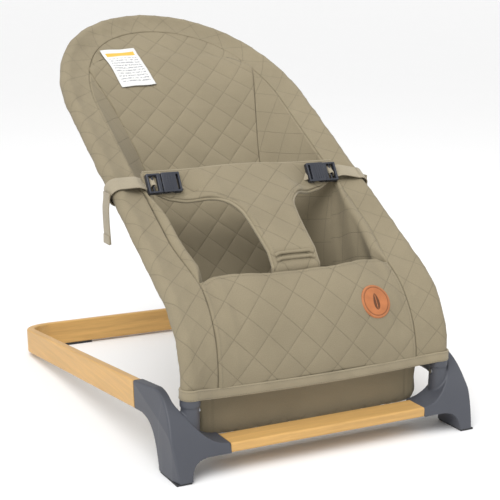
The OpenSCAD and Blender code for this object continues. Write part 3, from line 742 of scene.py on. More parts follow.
def wood_film(name, along):
    """Printed wood grain: long wavy streaks along one axis, or across behind REAR_BAR_Y."""
    colour = tuple(colours().wood)
    mat, tree, shader = new_material(
        name, 0.46, Coat_Weight=0.08, Coat_Roughness=0.4, Specular_IOR_Level=0.3
    )
    place = tree.nodes.new("ShaderNodeTexCoord")
    split = tree.nodes.new("ShaderNodeSeparateXYZ")
    tree.links.new(place.outputs["Object"], split.inputs[0])
    across = tree.nodes.new("ShaderNodeMix")
    across.data_type = "VECTOR"
    behind = math_node(tree, "GREATER_THAN", split.outputs["Y"], REAR_BAR_Y)
    tree.links.new(behind, across.inputs[0])
    for axis, socket in ((along, 4), (0, 5)):
        stretch = tree.nodes.new("ShaderNodeMapping")
        stretch.inputs["Scale"].default_value = tuple(3.0 if k == axis else 60.0 for k in range(3))
        tree.links.new(place.outputs["Object"], stretch.inputs["Vector"])
        tree.links.new(stretch.outputs["Vector"], across.inputs[socket])
    grain = noise(tree, across.outputs[1], 2.2, 6.0, 0.6)
    pores = noise(tree, across.outputs[1], 14.0, 4.0)
    base = shaded(tree, colour, grain, 0.86, 1.06)
    fine = shaded(tree, (0.98, 0.97, 0.95), pores, 0.90, 1.02)
    tree.links.new(mixed(tree, 1.0, base, fine, "MULTIPLY"), shader.inputs["Base Color"])
    tree.links.new(sum_of(tree, product(tree, pores, 0.2), 0.32), shader.inputs["Roughness"])
    bump(tree, shader, pores, 0.0002, 0.4)
    return mat


def moulded_plastic(name, colour, rough=0.5, grain=0.00012, **plain):
    mat, tree, shader = new_material(name, rough, **plain)
    blotch = add_group(tree, "Soft blotches", soft_blotches, Scale=12.0, Fine_scale=1500.0)
    base = shaded(tree, colour, blotch.outputs["Shade"], 0.94, 1.05)
    tree.links.new(base, shader.inputs["Base Color"])
    uneven = sum_of(tree, product(tree, blotch.outputs["Fine"], 0.16), rough - 0.08)
    tree.links.new(uneven, shader.inputs["Roughness"])
    bump(tree, shader, blotch.outputs["Fine"], grain, 0.6)
    return mat


def plain_steel():
    mat, tree, shader = new_material("Bright steel", 0.3, Metallic=1.0)
    blotch = add_group(tree, "Soft blotches", soft_blotches, Scale=50.0, Fine_scale=900.0)
    base = shaded(tree, (0.60, 0.61, 0.63), blotch.outputs["Shade"])
    tree.links.new(base, shader.inputs["Base Color"])
    uneven = sum_of(tree, product(tree, blotch.outputs["Fine"], 0.2), 0.2)
    tree.links.new(uneven, shader.inputs["Roughness"])
    bump(tree, shader, blotch.outputs["Fine"], 0.0001, 0.4)
    return mat


def badge_leather():
    colour = tuple(colours().leather)
    mat, tree, shader = new_material("Tan leather", 0.55, Specular_IOR_Level=0.35)
    place = tree.nodes.new("ShaderNodeTexCoord")
    cells = tree.nodes.new("ShaderNodeTexVoronoi")
    cells.inputs["Scale"].default_value = 900.0
    tree.links.new(place.outputs["Object"], cells.inputs["Vector"])
    blotch = add_group(tree, "Soft blotches", soft_blotches, Scale=70.0, Fine_scale=600.0)
    base = shaded(tree, colour, blotch.outputs["Shade"], 0.86, 1.10)
    mark = tree.nodes.new("ShaderNodeAttribute")
    mark.attribute_name = "Mark"
    dark = tuple(c * 0.26 for c in colour) + (1.0,)
    tree.links.new(mixed(tree, mark.outputs["Fac"], base, dark), shader.inputs["Base Color"])
    bump(tree, shader, cells.outputs["Distance"], 0.0002, 0.6)
    return mat


# ---- Geometry node trees ----


def stitch_tree():
    """Stitches along a mesh's edges: each is a short bead of thread turned along the seam."""
    found = bpy.data.node_groups.get("Seam stitches")
    if found:
        return found
    tree = bpy.data.node_groups.new("Seam stitches", "GeometryNodeTree")
    group_socket(tree, "Geometry", "NodeSocketGeometry")
    group_socket(tree, "Pitch", "NodeSocketFloat", 0.0034)
    group_socket(tree, "Thread radius", "NodeSocketFloat", 0.0003)
    group_socket(tree, "Material", "NodeSocketMaterial")
    group_socket(tree, "Geometry", "NodeSocketGeometry", out=True)
    nodes, links = tree.nodes, tree.links
    inp, out = nodes.new("NodeGroupInput"), nodes.new("NodeGroupOutput")
    curve = nodes.new("GeometryNodeMeshToCurve")
    links.new(inp.outputs["Geometry"], curve.inputs[0])
    spaced = nodes.new("GeometryNodeResampleCurve")
    spaced.mode = "LENGTH"
    links.new(curve.outputs[0], spaced.inputs["Curve"])
    links.new(inp.outputs["Pitch"], spaced.inputs["Length"])
    tangent = nodes.new("GeometryNodeInputTangent")
    turn = nodes.new("FunctionNodeAlignRotationToVector")
    turn.axis = "Z"
    links.new(tangent.outputs[0], turn.inputs["Vector"])
    bead = nodes.new("GeometryNodeMeshUVSphere")
    bead.inputs["Segments"].default_value = 6
    bead.inputs["Rings"].default_value = 5
    bead.inputs["Radius"].default_value = 1.0
    on = nodes.new("GeometryNodeInstanceOnPoints")
    links.new(spaced.outputs[0], on.inputs["Points"])
    links.new(bead.outputs["Mesh"], on.inputs["Instance"])
    links.new(turn.outputs[0], on.inputs["Rotation"])
    size = nodes.new("ShaderNodeCombineXYZ")
    half = nodes.new("ShaderNodeMath")
    half.operation = "MULTIPLY"
    half.inputs[1].default_value = 0.40
    links.new(inp.outputs["Pitch"], half.inputs[0])
    links.new(inp.outputs["Thread radius"], size.inputs["X"])
    links.new(inp.outputs["Thread radius"], size.inputs["Y"])
    links.new(half.outputs[0], size.inputs["Z"])
    links.new(size.outputs[0], on.inputs["Scale"])
    real = nodes.new("GeometryNodeRealizeInstances")
    links.new(on.outputs[0], real.inputs[0])
    paint = nodes.new("GeometryNodeSetMaterial")
    links.new(real.outputs[0], paint.inputs["Geometry"])
    links.new(inp.outputs["Material"], paint.inputs["Material"])
    smooth = nodes.new("GeometryNodeSetShadeSmooth")
    links.new(paint.outputs[0], smooth.inputs[0])
    links.new(smooth.outputs[0], out.inputs["Geometry"])
    return tree


def socket_id(tree, name):
    for item in tree.interface.items_tree:
        if item.name == name and item.in_out == "INPUT":
            return item.identifier
    raise KeyError(name)


def stitched(name, lines, pitch=None, radius=None):
    """Rows of stitches along lines of points in millimetres."""
    verts, edges = [], []
    for line in lines:
        start = len(verts)
        verts.extend(in_frame(line).tolist())
        edges.extend((start + k, start + k + 1) for k in range(len(line) - 1))
    mesh = bpy.data.meshes.new(name)
    mesh.from_pydata(verts, edges, [])
    obj = linked(name, mesh)
    change = obj.modifiers.new("stitches", "NODES")
    tree = stitch_tree()
    change.node_group = tree
    change[socket_id(tree, "Pitch")] = pitch or sizes().stitch_pitch
    change[socket_id(tree, "Thread radius")] = radius or sizes().thread_radius
    change[socket_id(tree, "Material")] = thread_material()
    flatten(obj)
    return obj


def paint(obj, material):
    obj.data.materials.clear()
    obj.data.materials.append(material)


def finish(obj, material, replaces):
    if material is not None:
        paint(obj, material)
    if replaces:
        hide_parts(*replaces)
    return obj


def finish_piece(obj, body, material=None, replaces=()):
    """Gives a piece the body that it rides on, and its finish."""
    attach(obj, body)
    return finish(obj, material, replaces)


def finish_blended(obj, material=None, replaces=()):
    """Gives a piece its finish, with its place baked into its mesh and no body to ride on: for fabric that
    runs from the base to the seat, which in the real seat bends with the spring legs.
    """
    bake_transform(obj)
    return finish(obj, material, replaces)


# ---- Quilted cover ----


def seam_width(length):
    """Distance from the tube's middle to the sleeve's seam, along the frame."""
    length = np.asarray(length, float)
    front = np.interp(length, [HEM_S, -BEND_LEN, 0], [32.5, 34.5, LEG_X - 136])
    return np.where(length < 0, front, lerp(LEG_X - 136, 30.0, ease(length / 90)))


def seam_height(length):
    """Height of the sleeve's seam out of the frame's plane."""
    places = [HEM_S, -BEND_LEN, -40, 0, 60, 300, HALF_LEN]
    return np.interp(length, places, [-1.0, 0.0, 3.5, 5.0, 3.5, 2.5, 2.0])


def sleeve_points(length, across, out, side=1):
    """Points round the frame tube: distance in from the tube's middle, and out of the frame's plane."""
    x, s, dx, ds = half_path(length)
    return on_incline(side * (x + dx * across), s + ds * across, out)


def sleeve_outline(width, height, count, thick=3.4):
    """Closed outline of the sleeve, as across and out: over the tube, and flat to its seam."""
    far = math.hypot(width, height)
    lean = math.atan2(height, width)
    open_ = math.acos(min(0.98, SLEEVE_R / far))
    a = np.linspace(lean + open_, lean + 2 * math.pi - open_, 200)
    bulge = np.stack([np.cos(a), np.sin(a)], -1) * SLEEVE_R
    t = np.linspace(0, 1, 90)[:, None]
    dip = np.sin(t * math.pi) ** 1.3 * np.array([[0.0, 1.0]])
    upper = np.array([[width, height + thick / 2]]) * (1 - t) + bulge[:1] * t - dip * 1.7
    lower = bulge[-1:] * (1 - t) + np.array([[width, height - thick / 2]]) * t + dip * 1.4
    end = np.array([[width + 0.8, height]])
    line = np.vstack([end, upper, bulge[1:-1], lower, end])
    return evenly(line, count + 1)[:-1]


def make_sleeve():
    step = sizes().mesh_step / MM * 1.15
    half = int((HALF_LEN - HEM_S - 3) / step)
    lengths = np.linspace(HEM_S + 3, HALF_LEN, half)
    count = 74
    rings, uvs = [], []
    for side in (1, -1):
        order = lengths if side == 1 else lengths[::-1][1:]
        for length in order:
            outline = sleeve_outline(float(seam_width(length)), float(seam_height(length)), count)
            around = run_along(outline)
            d = np.roll(outline, -1, axis=0) - np.roll(outline, 1, axis=0)
            d = d / np.linalg.norm(d, axis=1, keepdims=True)
            normal = np.stack([d[:, 1], -d[:, 0]], -1)
            u = around - around[-1] / 2
            run = length if side == 1 else 2 * HALF_LEN - length
            puff = quilting(u, np.full_like(u, run))
            wave = ripple(u * 2.4, np.full_like(u, run), 46.0, 5)
            near = np.minimum(around, around[-1] - around)
            calm = ease(near / 9.0)
            lift = 0.85 * (puff - 0.6) * calm + 0.55 * wave * calm
            outline = outline - normal * lift[:, None]
            ring = sleeve_points(np.full(count, length), outline[:, 0], outline[:, 1], side)
            rings.append(ring)
            uvs.append(np.stack([u + 300.0, np.full(count, run)], -1) * MM)
    return tube("frame_sleeve", rings, np.array(uvs).reshape(-1, 2))


class BOUNCER_OT_sleeve(bpy.types.Operator):
    """Fabric sleeve round the whole frame tube, from one foot over the crown to the other"""

    bl_idname = "bouncer.sleeve"
    bl_label = "Frame sleeve"

    def execute(self, context):
        obj = make_sleeve()
        parts = ("left_leg", "right_leg", "left_edge", "right_edge", "crown")
        nodes = [part + "_sleeve" for part in parts]
        finish_blended(obj, quilted_cotton(), nodes)
        return {"FINISHED"}


FOLD_LENGTH = 458.0  # path length where the side panels run out into the back panel
SLING = [
    tuple(sleeve_points(FOLD_LENGTH, seam_width(FOLD_LENGTH) + SEAM_GAP, seam_height(FOLD_LENGTH))),
    (127.5, 455, 423),
    (108, 408, 366),
    (91, 359.5, 298.5),
    (90, 311, 234),
    (96, 252, 156),
    (106, 204, 93),
    (116, 172, 58),
    (128, 128, 40.5),
]
POUCH = [
    (128, 128, 40.5),
    (142, 99, 37),
    (150, 61, 32.5),
    (152, 50.5, 36.5),
    (153, 49.5, 56),
    (156, 55, 104),
    (143, 78, 165),
    (136, 90, 199),
]


def seam_line(start, end, count):
    """Points along the sleeve's seam on the right, from one path length to another."""
    length = np.linspace(start, end, count)
    return sleeve_points(length, seam_width(length) + SEAM_GAP, seam_height(length))


def make_back():
    step = sizes().mesh_step / MM
    low = spline(SLING[::-1], 420)
    top_length = SIDE_LEN + SHOULDER_R * JOIN + CROWN_R * (math.radians(52) - JOIN)
    high = seam_line(FOLD_LENGTH, top_length, 70)
    edge = np.vstack([low, high[1:]])
    run = run_along(edge)
    rows = int(run[-1] / step)
    edge = evenly(edge, rows)
    run = np.linspace(0, run[-1], rows)
    cols = int(2 * 118 / step)
    share = np.linspace(-1, 1, cols)
    knee = np.linalg.norm(np.diff(low, axis=0), axis=1).sum()
    x = edge[:, :1] * share[None, :]
    y = np.repeat(edge[:, 1:2], cols, axis=1)
    z = np.repeat(edge[:, 2:3], cols, axis=1)
    arc_r = CROWN_R - 30.0 - SEAM_GAP
    k = np.clip((run - knee + 70) / (run[-1] - knee + 70), 0, 1)[:, None]
    rise = np.sqrt(np.maximum(0, arc_r**2 - np.minimum(np.abs(x), arc_r) ** 2))
    rise_edge = np.sqrt(np.maximum(0, arc_r**2 - np.minimum(edge[:, :1], arc_r) ** 2))
    lift = k * (rise - rise_edge)
    y = y + lift * COS_I
    z = z + lift * SIN_I
    sag = 7.5 * np.sin(math.pi * np.clip(run / run[-1], 0, 1)) ** 0.6
    sag = sag[:, None] * (1 - share[None, :] ** 2)
    z = z - sag * 0.8
    y = y + sag * 0.5
    p = np.stack([x, y, z], -1)
    uv = panel_uv(p)
    uv[..., 1] = uv[..., 1] + (lift - lift[:, cols // 2][:, None])
    puff = sizes().quilt_puff / MM
    tufts = quilting(uv[..., 0], uv[..., 1])
    lift_out = puff * (tufts - 0.25) + 0.9 * ripple(uv[..., 0], uv[..., 1], 70.0, 11)
    return shell("back_quilt", p, fabric(), lift_out, 0.6 * puff * tufts, uv)


def make_gusset(side):
    step = sizes().mesh_step / MM * 1.25
    chain = np.vstack([spline(SLING, 300), spline(POUCH, 160)[1:]])
    rows = int(run_along(chain)[-1] / step)
    low = evenly(chain, rows)
    share = np.linspace(0, 1, rows)
    length = FOLD_LENGTH - FOLD_LENGTH * (0.84 * share + 0.16 * share**3)
    seam = seam_width(length) + SEAM_GAP
    top = sleeve_points(length, seam, seam_height(length))
    wide = 14.0 * ease((200 - length) / 90) * ease((length - 4) / 34)
    roll = 4.0 * ease((200 - length) / 90) * ease((length - 4) / 34)
    band = sleeve_points(length, seam + wide * 0.55, seam_height(length) + roll)
    turn = sleeve_points(length, seam + wide, seam_height(length) - 2.0)
    cols = 96
    p = np.zeros((rows, cols, 3))
    for r in range(rows):
        drop = low[r] - turn[r]
        deep = float(np.linalg.norm(drop))
        middle = turn[r] + 0.42 * drop + np.array([-2.0 - 0.05 * deep, 0, 0]) * min(1, deep / 60)
        if deep < 4:
            p[r] = evenly(np.array([top[r], low[r]]), cols)
        elif wide[r] < 1:
            p[r] = spline([top[r], middle, low[r]], cols)
        else:
            p[r] = spline([top[r], band[r], turn[r], middle, low[r]], cols)
    tight = ease(np.minimum(np.arange(rows), np.arange(rows)[::-1]) / 6.0)
    p[..., 0] *= side
    along = p[..., 1] * COS_I + p[..., 2] * SIN_I
    out = p[..., 2] * COS_I - p[..., 1] * SIN_I
    step_in = np.hypot(np.diff(p[..., 0], axis=1), np.diff(out, axis=1))
    down = np.concatenate([np.zeros((rows, 1)), np.cumsum(step_in, axis=1)], axis=1)
    uv = np.stack([down, along], -1)
    puff = sizes().quilt_puff / MM
    padding = puff * 3.0 * (quilting(down, along) - 0.2)
    height = (padding + 0.6 * ripple(down, along, 44.0, 21)) * tight[:, None]
    name = "right_side_quilt" if side > 0 else "left_side_quilt"
    return shell(name, p, fabric(), height, None, uv, flip=side > 0)


def make_pouch():
    step = sizes().mesh_step / MM * 1.3
    edge = spline(POUCH, 260)
    run = np.linalg.norm(np.diff(edge, axis=0), axis=1).sum()
    rows = int(run / step)
    edge = evenly(edge, rows)
    cols = int(280 / step)
    share = np.linspace(-1, 1, cols)
    at = np.linspace(0, 1, rows)
    x = edge[:, :1] * share[None, :]
    dip = (1 - share[None, :] ** 2) * np.sin(math.pi * np.clip(at * 1.05, 0, 1))[:, None]
    y = edge[:, 1:2] - 3.5 * dip * ease((at - 0.35) / 0.2)[:, None]
    z = edge[:, 2:3] - 3.0 * dip * (1 - ease((at - 0.3) / 0.15))[:, None]
    p = np.stack(np.broadcast_arrays(x, y, z), -1)
    uv = panel_uv(p)
    puff = sizes().quilt_puff / MM
    run = uv[:, cols // 2, 1]
    plain = ease((run - 76) / 10)[:, None]
    height = (1 - plain) * puff * (quilting(uv[..., 0], uv[..., 1]) - 0.2)
    height = height + 0.9 * ripple(uv[..., 0], uv[..., 1] * 0.5, 64.0, 31)
    seam = np.exp(-(((np.abs(x) - 139) / 1.6) ** 2)) * plain
    height = height - 1.1 * seam
    obj = shell("pouch_quilt", p, fabric(), height, 1.6 * seam, uv)
    plain = np.repeat(plain, cols, axis=1)
    values = np.concatenate([plain.ravel(), plain[1:-1, 1:-1].ravel()])
    layer = obj.data.attributes.new("Plain", "FLOAT", "POINT")
    layer.data.foreach_set("value", values.astype(np.float32))
    return obj


class BOUNCER_OT_seat(bpy.types.Operator):
    """Deep quilted seat: back panel, two side panels and the pouch under the legs"""

    bl_idname = "bouncer.seat"
    bl_label = "Seat panels"

    def execute(self, context):
        made = [
            (make_back(), ("back_panel",)),
            (make_gusset(-1), ("left_gusset",)),
            (make_gusset(1), ("right_gusset",)),
            (make_pouch(), ("seat_pouch",)),
        ]
        for obj, nodes in made:
            finish_piece(obj, "seat", quilted_cotton(), nodes)
        return {"FINISHED"}


def apron_top(x):
    """Path length of the apron's top edge across the front."""
    wide = np.abs(x)
    rise = 8.0 * ease((wide - 38) / 70) - 7.0 * ease((wide - 112) / 24)
    return 9.0 + rise - 1.5 * np.exp(-((x / 34) ** 2))


def apron_height(x, s):
    """Height of the apron out of the frame's plane."""
    low = np.interp(s, [HEM_S, -BEND_LEN, -40, 0, 20], [-1.0, 0.0, 3.5, 5.0, 4.0])
    hump = 6.0 * (1 - np.clip(np.abs(x) / 128, 0, 1) ** 2.2) * ease((s + 95) / 95)
    return low + hump


def apron_half(s):
    """Half width of the apron, which keeps to the sleeve's seam."""
    s = np.minimum(s, 0)
    return LEG_X - seam_width(s) - 0.8


def apron_relief(x, s):
    """Padding, soft waves and side creases on the apron's face."""
    puff = sizes().quilt_puff / MM
    near_sleeve = np.exp(-(((np.abs(x) - 118) / 16) ** 2))
    creases = near_sleeve * ripple(x * 3.0, s, 60.0, 43) * 2.2 * ease((s + 120) / 40)
    return puff * 0.9 * (quilting(x, s) - 0.25) + 0.9 * ripple(x, s, 62.0, 41) + creases


def apron_seams():
    """Stitching lines beside both sleeves and under the apron's top edge."""
    above = fabric() / 2 + 0.15
    s = np.linspace(HEM_S + 14, -2, 400)
    lines = [(side * (apron_half(s) - 5.0), s) for side in (-1, 1)]
    share = np.linspace(-0.96, 0.96, 500)
    lines.append((share * apron_half(0.0), apron_top(share * APRON_HALF) - 6.0))
    return [on_incline(x, s, apron_height(x, s) + above + apron_relief(x, s)) for x, s in lines]


def make_apron():
    step = sizes().mesh_step / MM
    rows = int(146 / step)
    cols = int(286 / step)
    share = np.linspace(-1, 1, cols)[None, :]
    at = np.linspace(0, 1, rows)[:, None]
    top = apron_top(share * APRON_HALF)
    s = lerp(HEM_S + 9.0, top, at)
    x = share * apron_half(s)
    n = apron_height(x, s)
    p = on_incline(x, s, n)
    uv = np.stack([x, s], -1)
    return shell("front_quilt", p, fabric(), apron_relief(x, s), None, uv, edge=3.2)


def hem_line(drop=0.0):
    """Middle of the hem tape, round one leg, across the front and round the other leg."""
    around = np.radians(np.linspace(200, -35, 36))
    r = SLEEVE_R + 0.9
    half = [(LEG_X + r * math.sin(a), LEG_Y - r * math.cos(a), 0) for a in around]
    for x, ahead in ((158, 6.0), (148, 2.5), (132, 1.6), (90, 2.4), (40, 3.2)):
        half.append((x, LEG_Y - ahead, 0))
    line = half + [(0, LEG_Y - 3.4, 0)] + [(-x, y, z) for x, y, z in reversed(half)]
    line = np.array(line)
    wide = np.abs(line[:, 0])
    sag = -2.0 * (1 - np.clip(wide / 150, 0, 1) ** 2) + 4.5 * ease((wide - 140) / 36)
    line[:, 2] = (HEM_LOW + HEM_HIGH) / 2 + sag + drop
    return spline(line, 400)


def make_hem():
    return sweep("hem_tape", hem_line(), flat_outline(2.6, HEM_HIGH - HEM_LOW, 1.1))


class BOUNCER_OT_apron(bpy.types.Operator):
    """Front panel that hangs from the knees to its bound hem between the spring legs"""

    bl_idname = "bouncer.apron"
    bl_label = "Front panel and hem"

    def execute(self, context):
        front = finish_blended(make_apron(), quilted_cotton(), ("front_apron",))
        finish_blended(stitched("front_stitches", apron_seams()))
        hem = finish_blended(make_hem(), tape_cloth(), ("hem_binding",))
        rows = []
        for drop in (-4.6, 4.6):
            line = hem_line(drop)
            face = np.cross(headings(line), np.array([0.0, 0.0, 1.0]))
            if face[len(face) // 2][1] > 0:
                face = -face
            rows.append(line + face * 1.45)
        finish_blended(stitched("hem_stitches", rows))
        return {"FINISHED"}


# ---- Harness ----


HARNESS_TOP = 202.0
HARNESS_EDGE = [
    (5, 33), (13, 33), (26, 32.6), (53, 33.5), (88, 35.5), (110, 38.5), (124, 44), (134, 52),
    (144, 62), (152, 73), (158, 85), (162.5, 97), (168, 113), (176, 128), (186, 138), (194, 141.5),
    (202, 142),
]


def harness_rise(x, s):
    """Height of the harness out of the frame's plane; its wings tip down to the buckles at their top."""
    x = np.abs(x)
    flat = np.interp(s, [5, 10, 16, 36, 106, 166], [-2, 3, 11, 19, 23, 19])
    tipped = 18 - np.minimum(HARNESS_TOP - s, 34) * math.tan(math.radians(28))
    return lerp(flat, tipped, ease((x - 48) / 48))


def harness_half(count):
    """Half width of the harness and distance up the frame, along its edge."""
    return spline(np.array([(w, s) for s, w in HARNESS_EDGE], float), count)


def crown_drop(x):
    """How far the middle of the harness's top edge stands above its ends."""
    return 3.0 * (1 - np.clip(np.abs(x) / 60, 0, 1) ** 2)


def make_harness():
    rows, cols = 190, 200
    half = evenly(harness_half(500), rows)
    share = np.linspace(-1, 1, cols)[None, :]
    x = half[:, :1] * share
    s = np.repeat(half[:, 1:2], cols, axis=1)
    s = s + np.where(s > 150, ease((s - 150) / 52), 0) * crown_drop(x)
    p = on_incline(x, s, harness_rise(x, s))
    uv = np.stack([x, s], -1)
    full = border_round(p, 7.0)
    height = 2.6 * full + 1.1 * (quilting(x, s) - 0.3) * full + 0.8 * ripple(x, s, 38.0, 51)
    return shell("harness_pad", p, 3.4, height, 1.4 * full, uv, edge=3.0)


def harness_edge_line(side, inset):
    edge = harness_half(300)[:-1]
    x = edge[:, 0] - inset
    return on_incline(side * x, edge[:, 1], harness_rise(x, edge[:, 1]))


class BOUNCER_OT_harness(bpy.types.Operator):
    """Padded harness panel with its crotch band and piped edges"""

    bl_idname = "bouncer.harness"
    bl_label = "Harness"

    def execute(self, context):
        pad = make_harness()
        finish_piece(pad, "seat", quilted_cotton(), ("harness_panel",))
        piping = []
        for side in (-1, 1):
            line = harness_edge_line(side, 0.4)
            piping.append(sweep("piping_part", line, round_outline(4.4, 4.4)))
        top_x = np.linspace(-141.4, 141.4, 200)
        top_s = HARNESS_TOP + crown_drop(top_x)
        top_line = on_incline(top_x, top_s, harness_rise(top_x, top_s))
        piping.append(sweep("piping_part", top_line, round_outline(4.4, 4.4)))
        piping = joined("harness_piping", piping)
        finish_piece(piping, "seat", tape_cloth())
        up = np.array([0.0, -SIN_I, COS_I])
        rows = [harness_edge_line(side, 6.5) + up * 4.9 for side in (-1, 1)]
        finish_piece(stitched("harness_stitches", rows), "seat")
        band_x = np.linspace(-27, 27, 60)
        parts = []
        for s_low, s_high in ((20.0, 24.6), (27.0, 31.6)):
            s_mid = (s_low + s_high) / 2
            rise = harness_rise(band_x, s_mid) + 6.0
            line = on_incline(band_x, np.full_like(band_x, s_mid), rise)
            line[:, 2] -= 2.5 * ease((np.abs(band_x) - 20) / 7)
            parts.append(sweep("band_part", line, round_outline(s_high - s_low, 4.2, 14), up))
        band = joined("crotch_band_pad", parts)
        plain = quilted_cotton("Plain cotton", False)
        finish_piece(band, "seat", plain, ("crotch_band",))
        return {"FINISHED"}


# ---- Straps and buckles ----


BUCKLE_X, BUCKLE_S, BUCKLE_N = 118.0, 182.0, 15.5
BUCKLE_LEN, BUCKLE_W, BUCKLE_T = 46.0, 27.0, 9.0
BUCKLE_TILT = math.radians(28)
WRAP_R = 14.2  # from the tube's middle to the webbing round the sleeve
TAIL_WIDTH = 21.0
TAB_WIDTH = 20.0


def on_buckle(points, side):
    """From the buckle's own axes, away from the middle, up and out, to the frame's millimetres."""
    p = np.asarray(points, float)
    c, s_ = math.cos(BUCKLE_TILT), math.sin(BUCKLE_TILT)
    x = BUCKLE_X + p[..., 0]
    up = BUCKLE_S + p[..., 1] * c - p[..., 2] * s_
    out = BUCKLE_N + p[..., 1] * s_ + p[..., 2] * c
    return on_incline(side * x, up, out)


def place_on_buckle(obj, side):
    co = np.empty(len(obj.data.vertices) * 3, np.float32)
    obj.data.vertices.foreach_get("co", co)
    moved = in_frame(on_buckle(co.reshape(-1, 3), side)).astype(np.float32)
    obj.data.vertices.foreach_set("co", moved.ravel())
    if side < 0:
        obj.data.flip_normals()
    obj.data.update()
    return obj


def webbing_strip(name, line, across, width=None):
    """Webbing along a line; across is the direction of its width."""
    width = width or sizes().webbing_width / MM
    p = np.asarray(line, float)
    up = np.cross(np.broadcast_to(across, p.shape), headings(p))
    up = up / np.linalg.norm(up, axis=1, keepdims=True)
    return sweep(name, p, flat_outline(width, 1.5, 0.6), up)


def strap_points(side):
    """Webbing from the buckle over the sleeve and round to its underside."""
    tail = BUCKLE_X + BUCKLE_LEN / 2
    loop = (
        (-8.5, -3.0), (-11.2, -1.0), (-10.6, 1.6), (-8.0, 2.3), (-5.6, 1.2), (-4.4, -2.6),
        (-1.0, -5.0), (5.0, -3.4),
    )
    line = [(tail + x, BUCKLE_N + n) for x, n in loop]
    line.append((LEG_X - 22, BUCKLE_N - 1.0))
    for k in range(13):
        a = math.radians(-10 + 15 * k)
        line.append((LEG_X + WRAP_R * math.sin(a), WRAP_R * math.cos(a)))
    line.append((LEG_X - 14, -WRAP_R))
    line = spline(np.array(line), 120)
    s = np.full(len(line), 189.0)
    if side > 0:
        s = np.interp(line[:, 0], [140, LEG_X], [189.0, 178.0])
    return on_incline(side * line[:, 0], s, line[:, 1])


class BOUNCER_OT_straps(bpy.types.Operator):
    """Webbing straps from the buckles round the frame, with their loose tails and the wing tabs"""

    bl_idname = "bouncer.straps"
    bl_label = "Straps"

    def execute(self, context):
        up = np.array([0.0, COS_I, SIN_I])
        for side, word in ((-1, "left"), (1, "right")):
            strap = webbing_strip(word + "_webbing", strap_points(side), up * -side)
            finish_piece(strap, "seat", strap_webbing(), (word + "_strap",))
            low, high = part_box(word + "_strap_tail")
            mid_y = ((low.y + high.y) / 2 - FRONT_Y) / MM
            out = LEG_X + WRAP_R + 2.4
            top = high.z / MM
            bottom = low.z / MM
            z = np.linspace(top + 4, bottom + 1, 60)
            sway = 1.6 * np.sin((z - bottom) / 24.0) * ease((top - z) / 16)
            ahead = mid_y - 3.0 * ease((top - z) / (top - bottom))
            line = np.stack([side * (out + sway), ahead, z], -1)
            flat = np.array([0.0, 1.0, 0.0]) * side
            tail = webbing_strip(word + "_webbing_tail", line, flat, TAIL_WIDTH)
            fold_z = np.linspace(bottom + 12, bottom + 0.5, 14)
            fold_x = np.full(14, side * (out + 1.7))
            fold = np.stack([fold_x, np.full(14, line[-1][1]), fold_z], -1)
            fold = webbing_strip("fold_part", fold, flat, TAIL_WIDTH)
            tail = joined(word + "_webbing_tail", [tail, fold])
            finish_piece(tail, "seat", strap_webbing(), (word + "_strap_tail",))
            tab_x = np.linspace(-BUCKLE_LEN / 2 - 13.5, -BUCKLE_LEN / 2 + 1.5, 30)
            tab = np.stack([tab_x, np.zeros(30), np.linspace(-15.0, -1.2, 30)], -1)
            tab = on_buckle(tab, side)
            tab = webbing_strip(word + "_tab_webbing", tab, up * -side, TAB_WIDTH)
            finish_piece(tab, "seat", strap_webbing(), (word + "_wing_tab",))
        return {"FINISHED"}


def make_buckle_half(name, side, female):
    """Half of a side-release buckle with its slots, ribs and windows."""
    end = BUCKLE_LEN / 2
    w, t = BUCKLE_W / 2, BUCKLE_T / 2
    if female:
        boxes = [((-end, -w, -t), (2.8, w, t))]
        cuts = [
            ((-end + 8, -w + 2.0, -t + 1.9), (20, w - 2.0, t - 1.9)),
            ((-13.2, -w - 2, -2.6), (-3.8, w + 2, 2.6)),
            ((-end + 2.4, -10.6, -t - 2), (-end + 5.6, 10.6, t + 2)),
        ]
    else:
        boxes = [((3.4, -w, -t), (end, w, t - 1))]
        cuts = [((end - 14.4, -10.8, -t - 2), (end - 3.0, 10.8, t + 2))]
    body = moulded(name, boxes, cuts, 1.1, 3)
    parts = [body]
    if female:
        for k in range(4):
            x = -end + 11.5 + 3.4 * k
            rib = ((x, -w + 3.4, t - 0.3), (x + 1.3, w - 3.4, t + 0.35))
            parts.append(moulded("rib", [rib], (), 0.25, 2))
    else:
        tongue = ((-end + 12, -2.4, -1.4), (3.6, 2.4, 1.4))
        bar = ((end - 9.6, -11.5, -2.0), (end - 7.4, 11.5, 0.6))
        rib = ((4.8, -w + 3.0, t - 1.3), (5.8, w - 3.0, t - 0.6))
        for box, bevel in ((tongue, 0.4), (bar, 0.5), (rib, 0.2)):
            parts.append(moulded("part", [box], (), bevel, 2))
    obj = joined(name, parts)
    return place_on_buckle(obj, side)


class BOUNCER_OT_buckles(bpy.types.Operator):
    """Two side-release buckles with springy prongs"""

    bl_idname = "bouncer.buckles"
    bl_label = "Buckles"

    def execute(self, context):
        plastic = moulded_plastic("Buckle plastic", tuple(colours().clip), 0.42)
        for side, word in ((-1, "left"), (1, "right")):
            for female, kind in ((True, "female"), (False, "male")):
                node = f"{word}_buckle_{kind}"
                obj = make_buckle_half(f"{word}_clip_{kind}", side, female)
                finish_piece(obj, "seat", plastic, (node,))
            for place in ("upper", "lower"):
                paint(frame["nodes"][f"{word}_{place}_prong"], plastic)
        return {"FINISHED"}


# ---- Badge and label ----


BADGE_X, BADGE_S = 88.0, -47.0


def on_front(points, lift=0.0):
    """Badge's own axes, across, up the panel and out of it, to the frame's millimetres."""
    p = np.asarray(points, float)
    x = BADGE_X + p[..., 0]
    s = BADGE_S + p[..., 1]
    n = apron_height(x, s) + 2.6 + lift + p[..., 2]
    return on_incline(x, s, n)


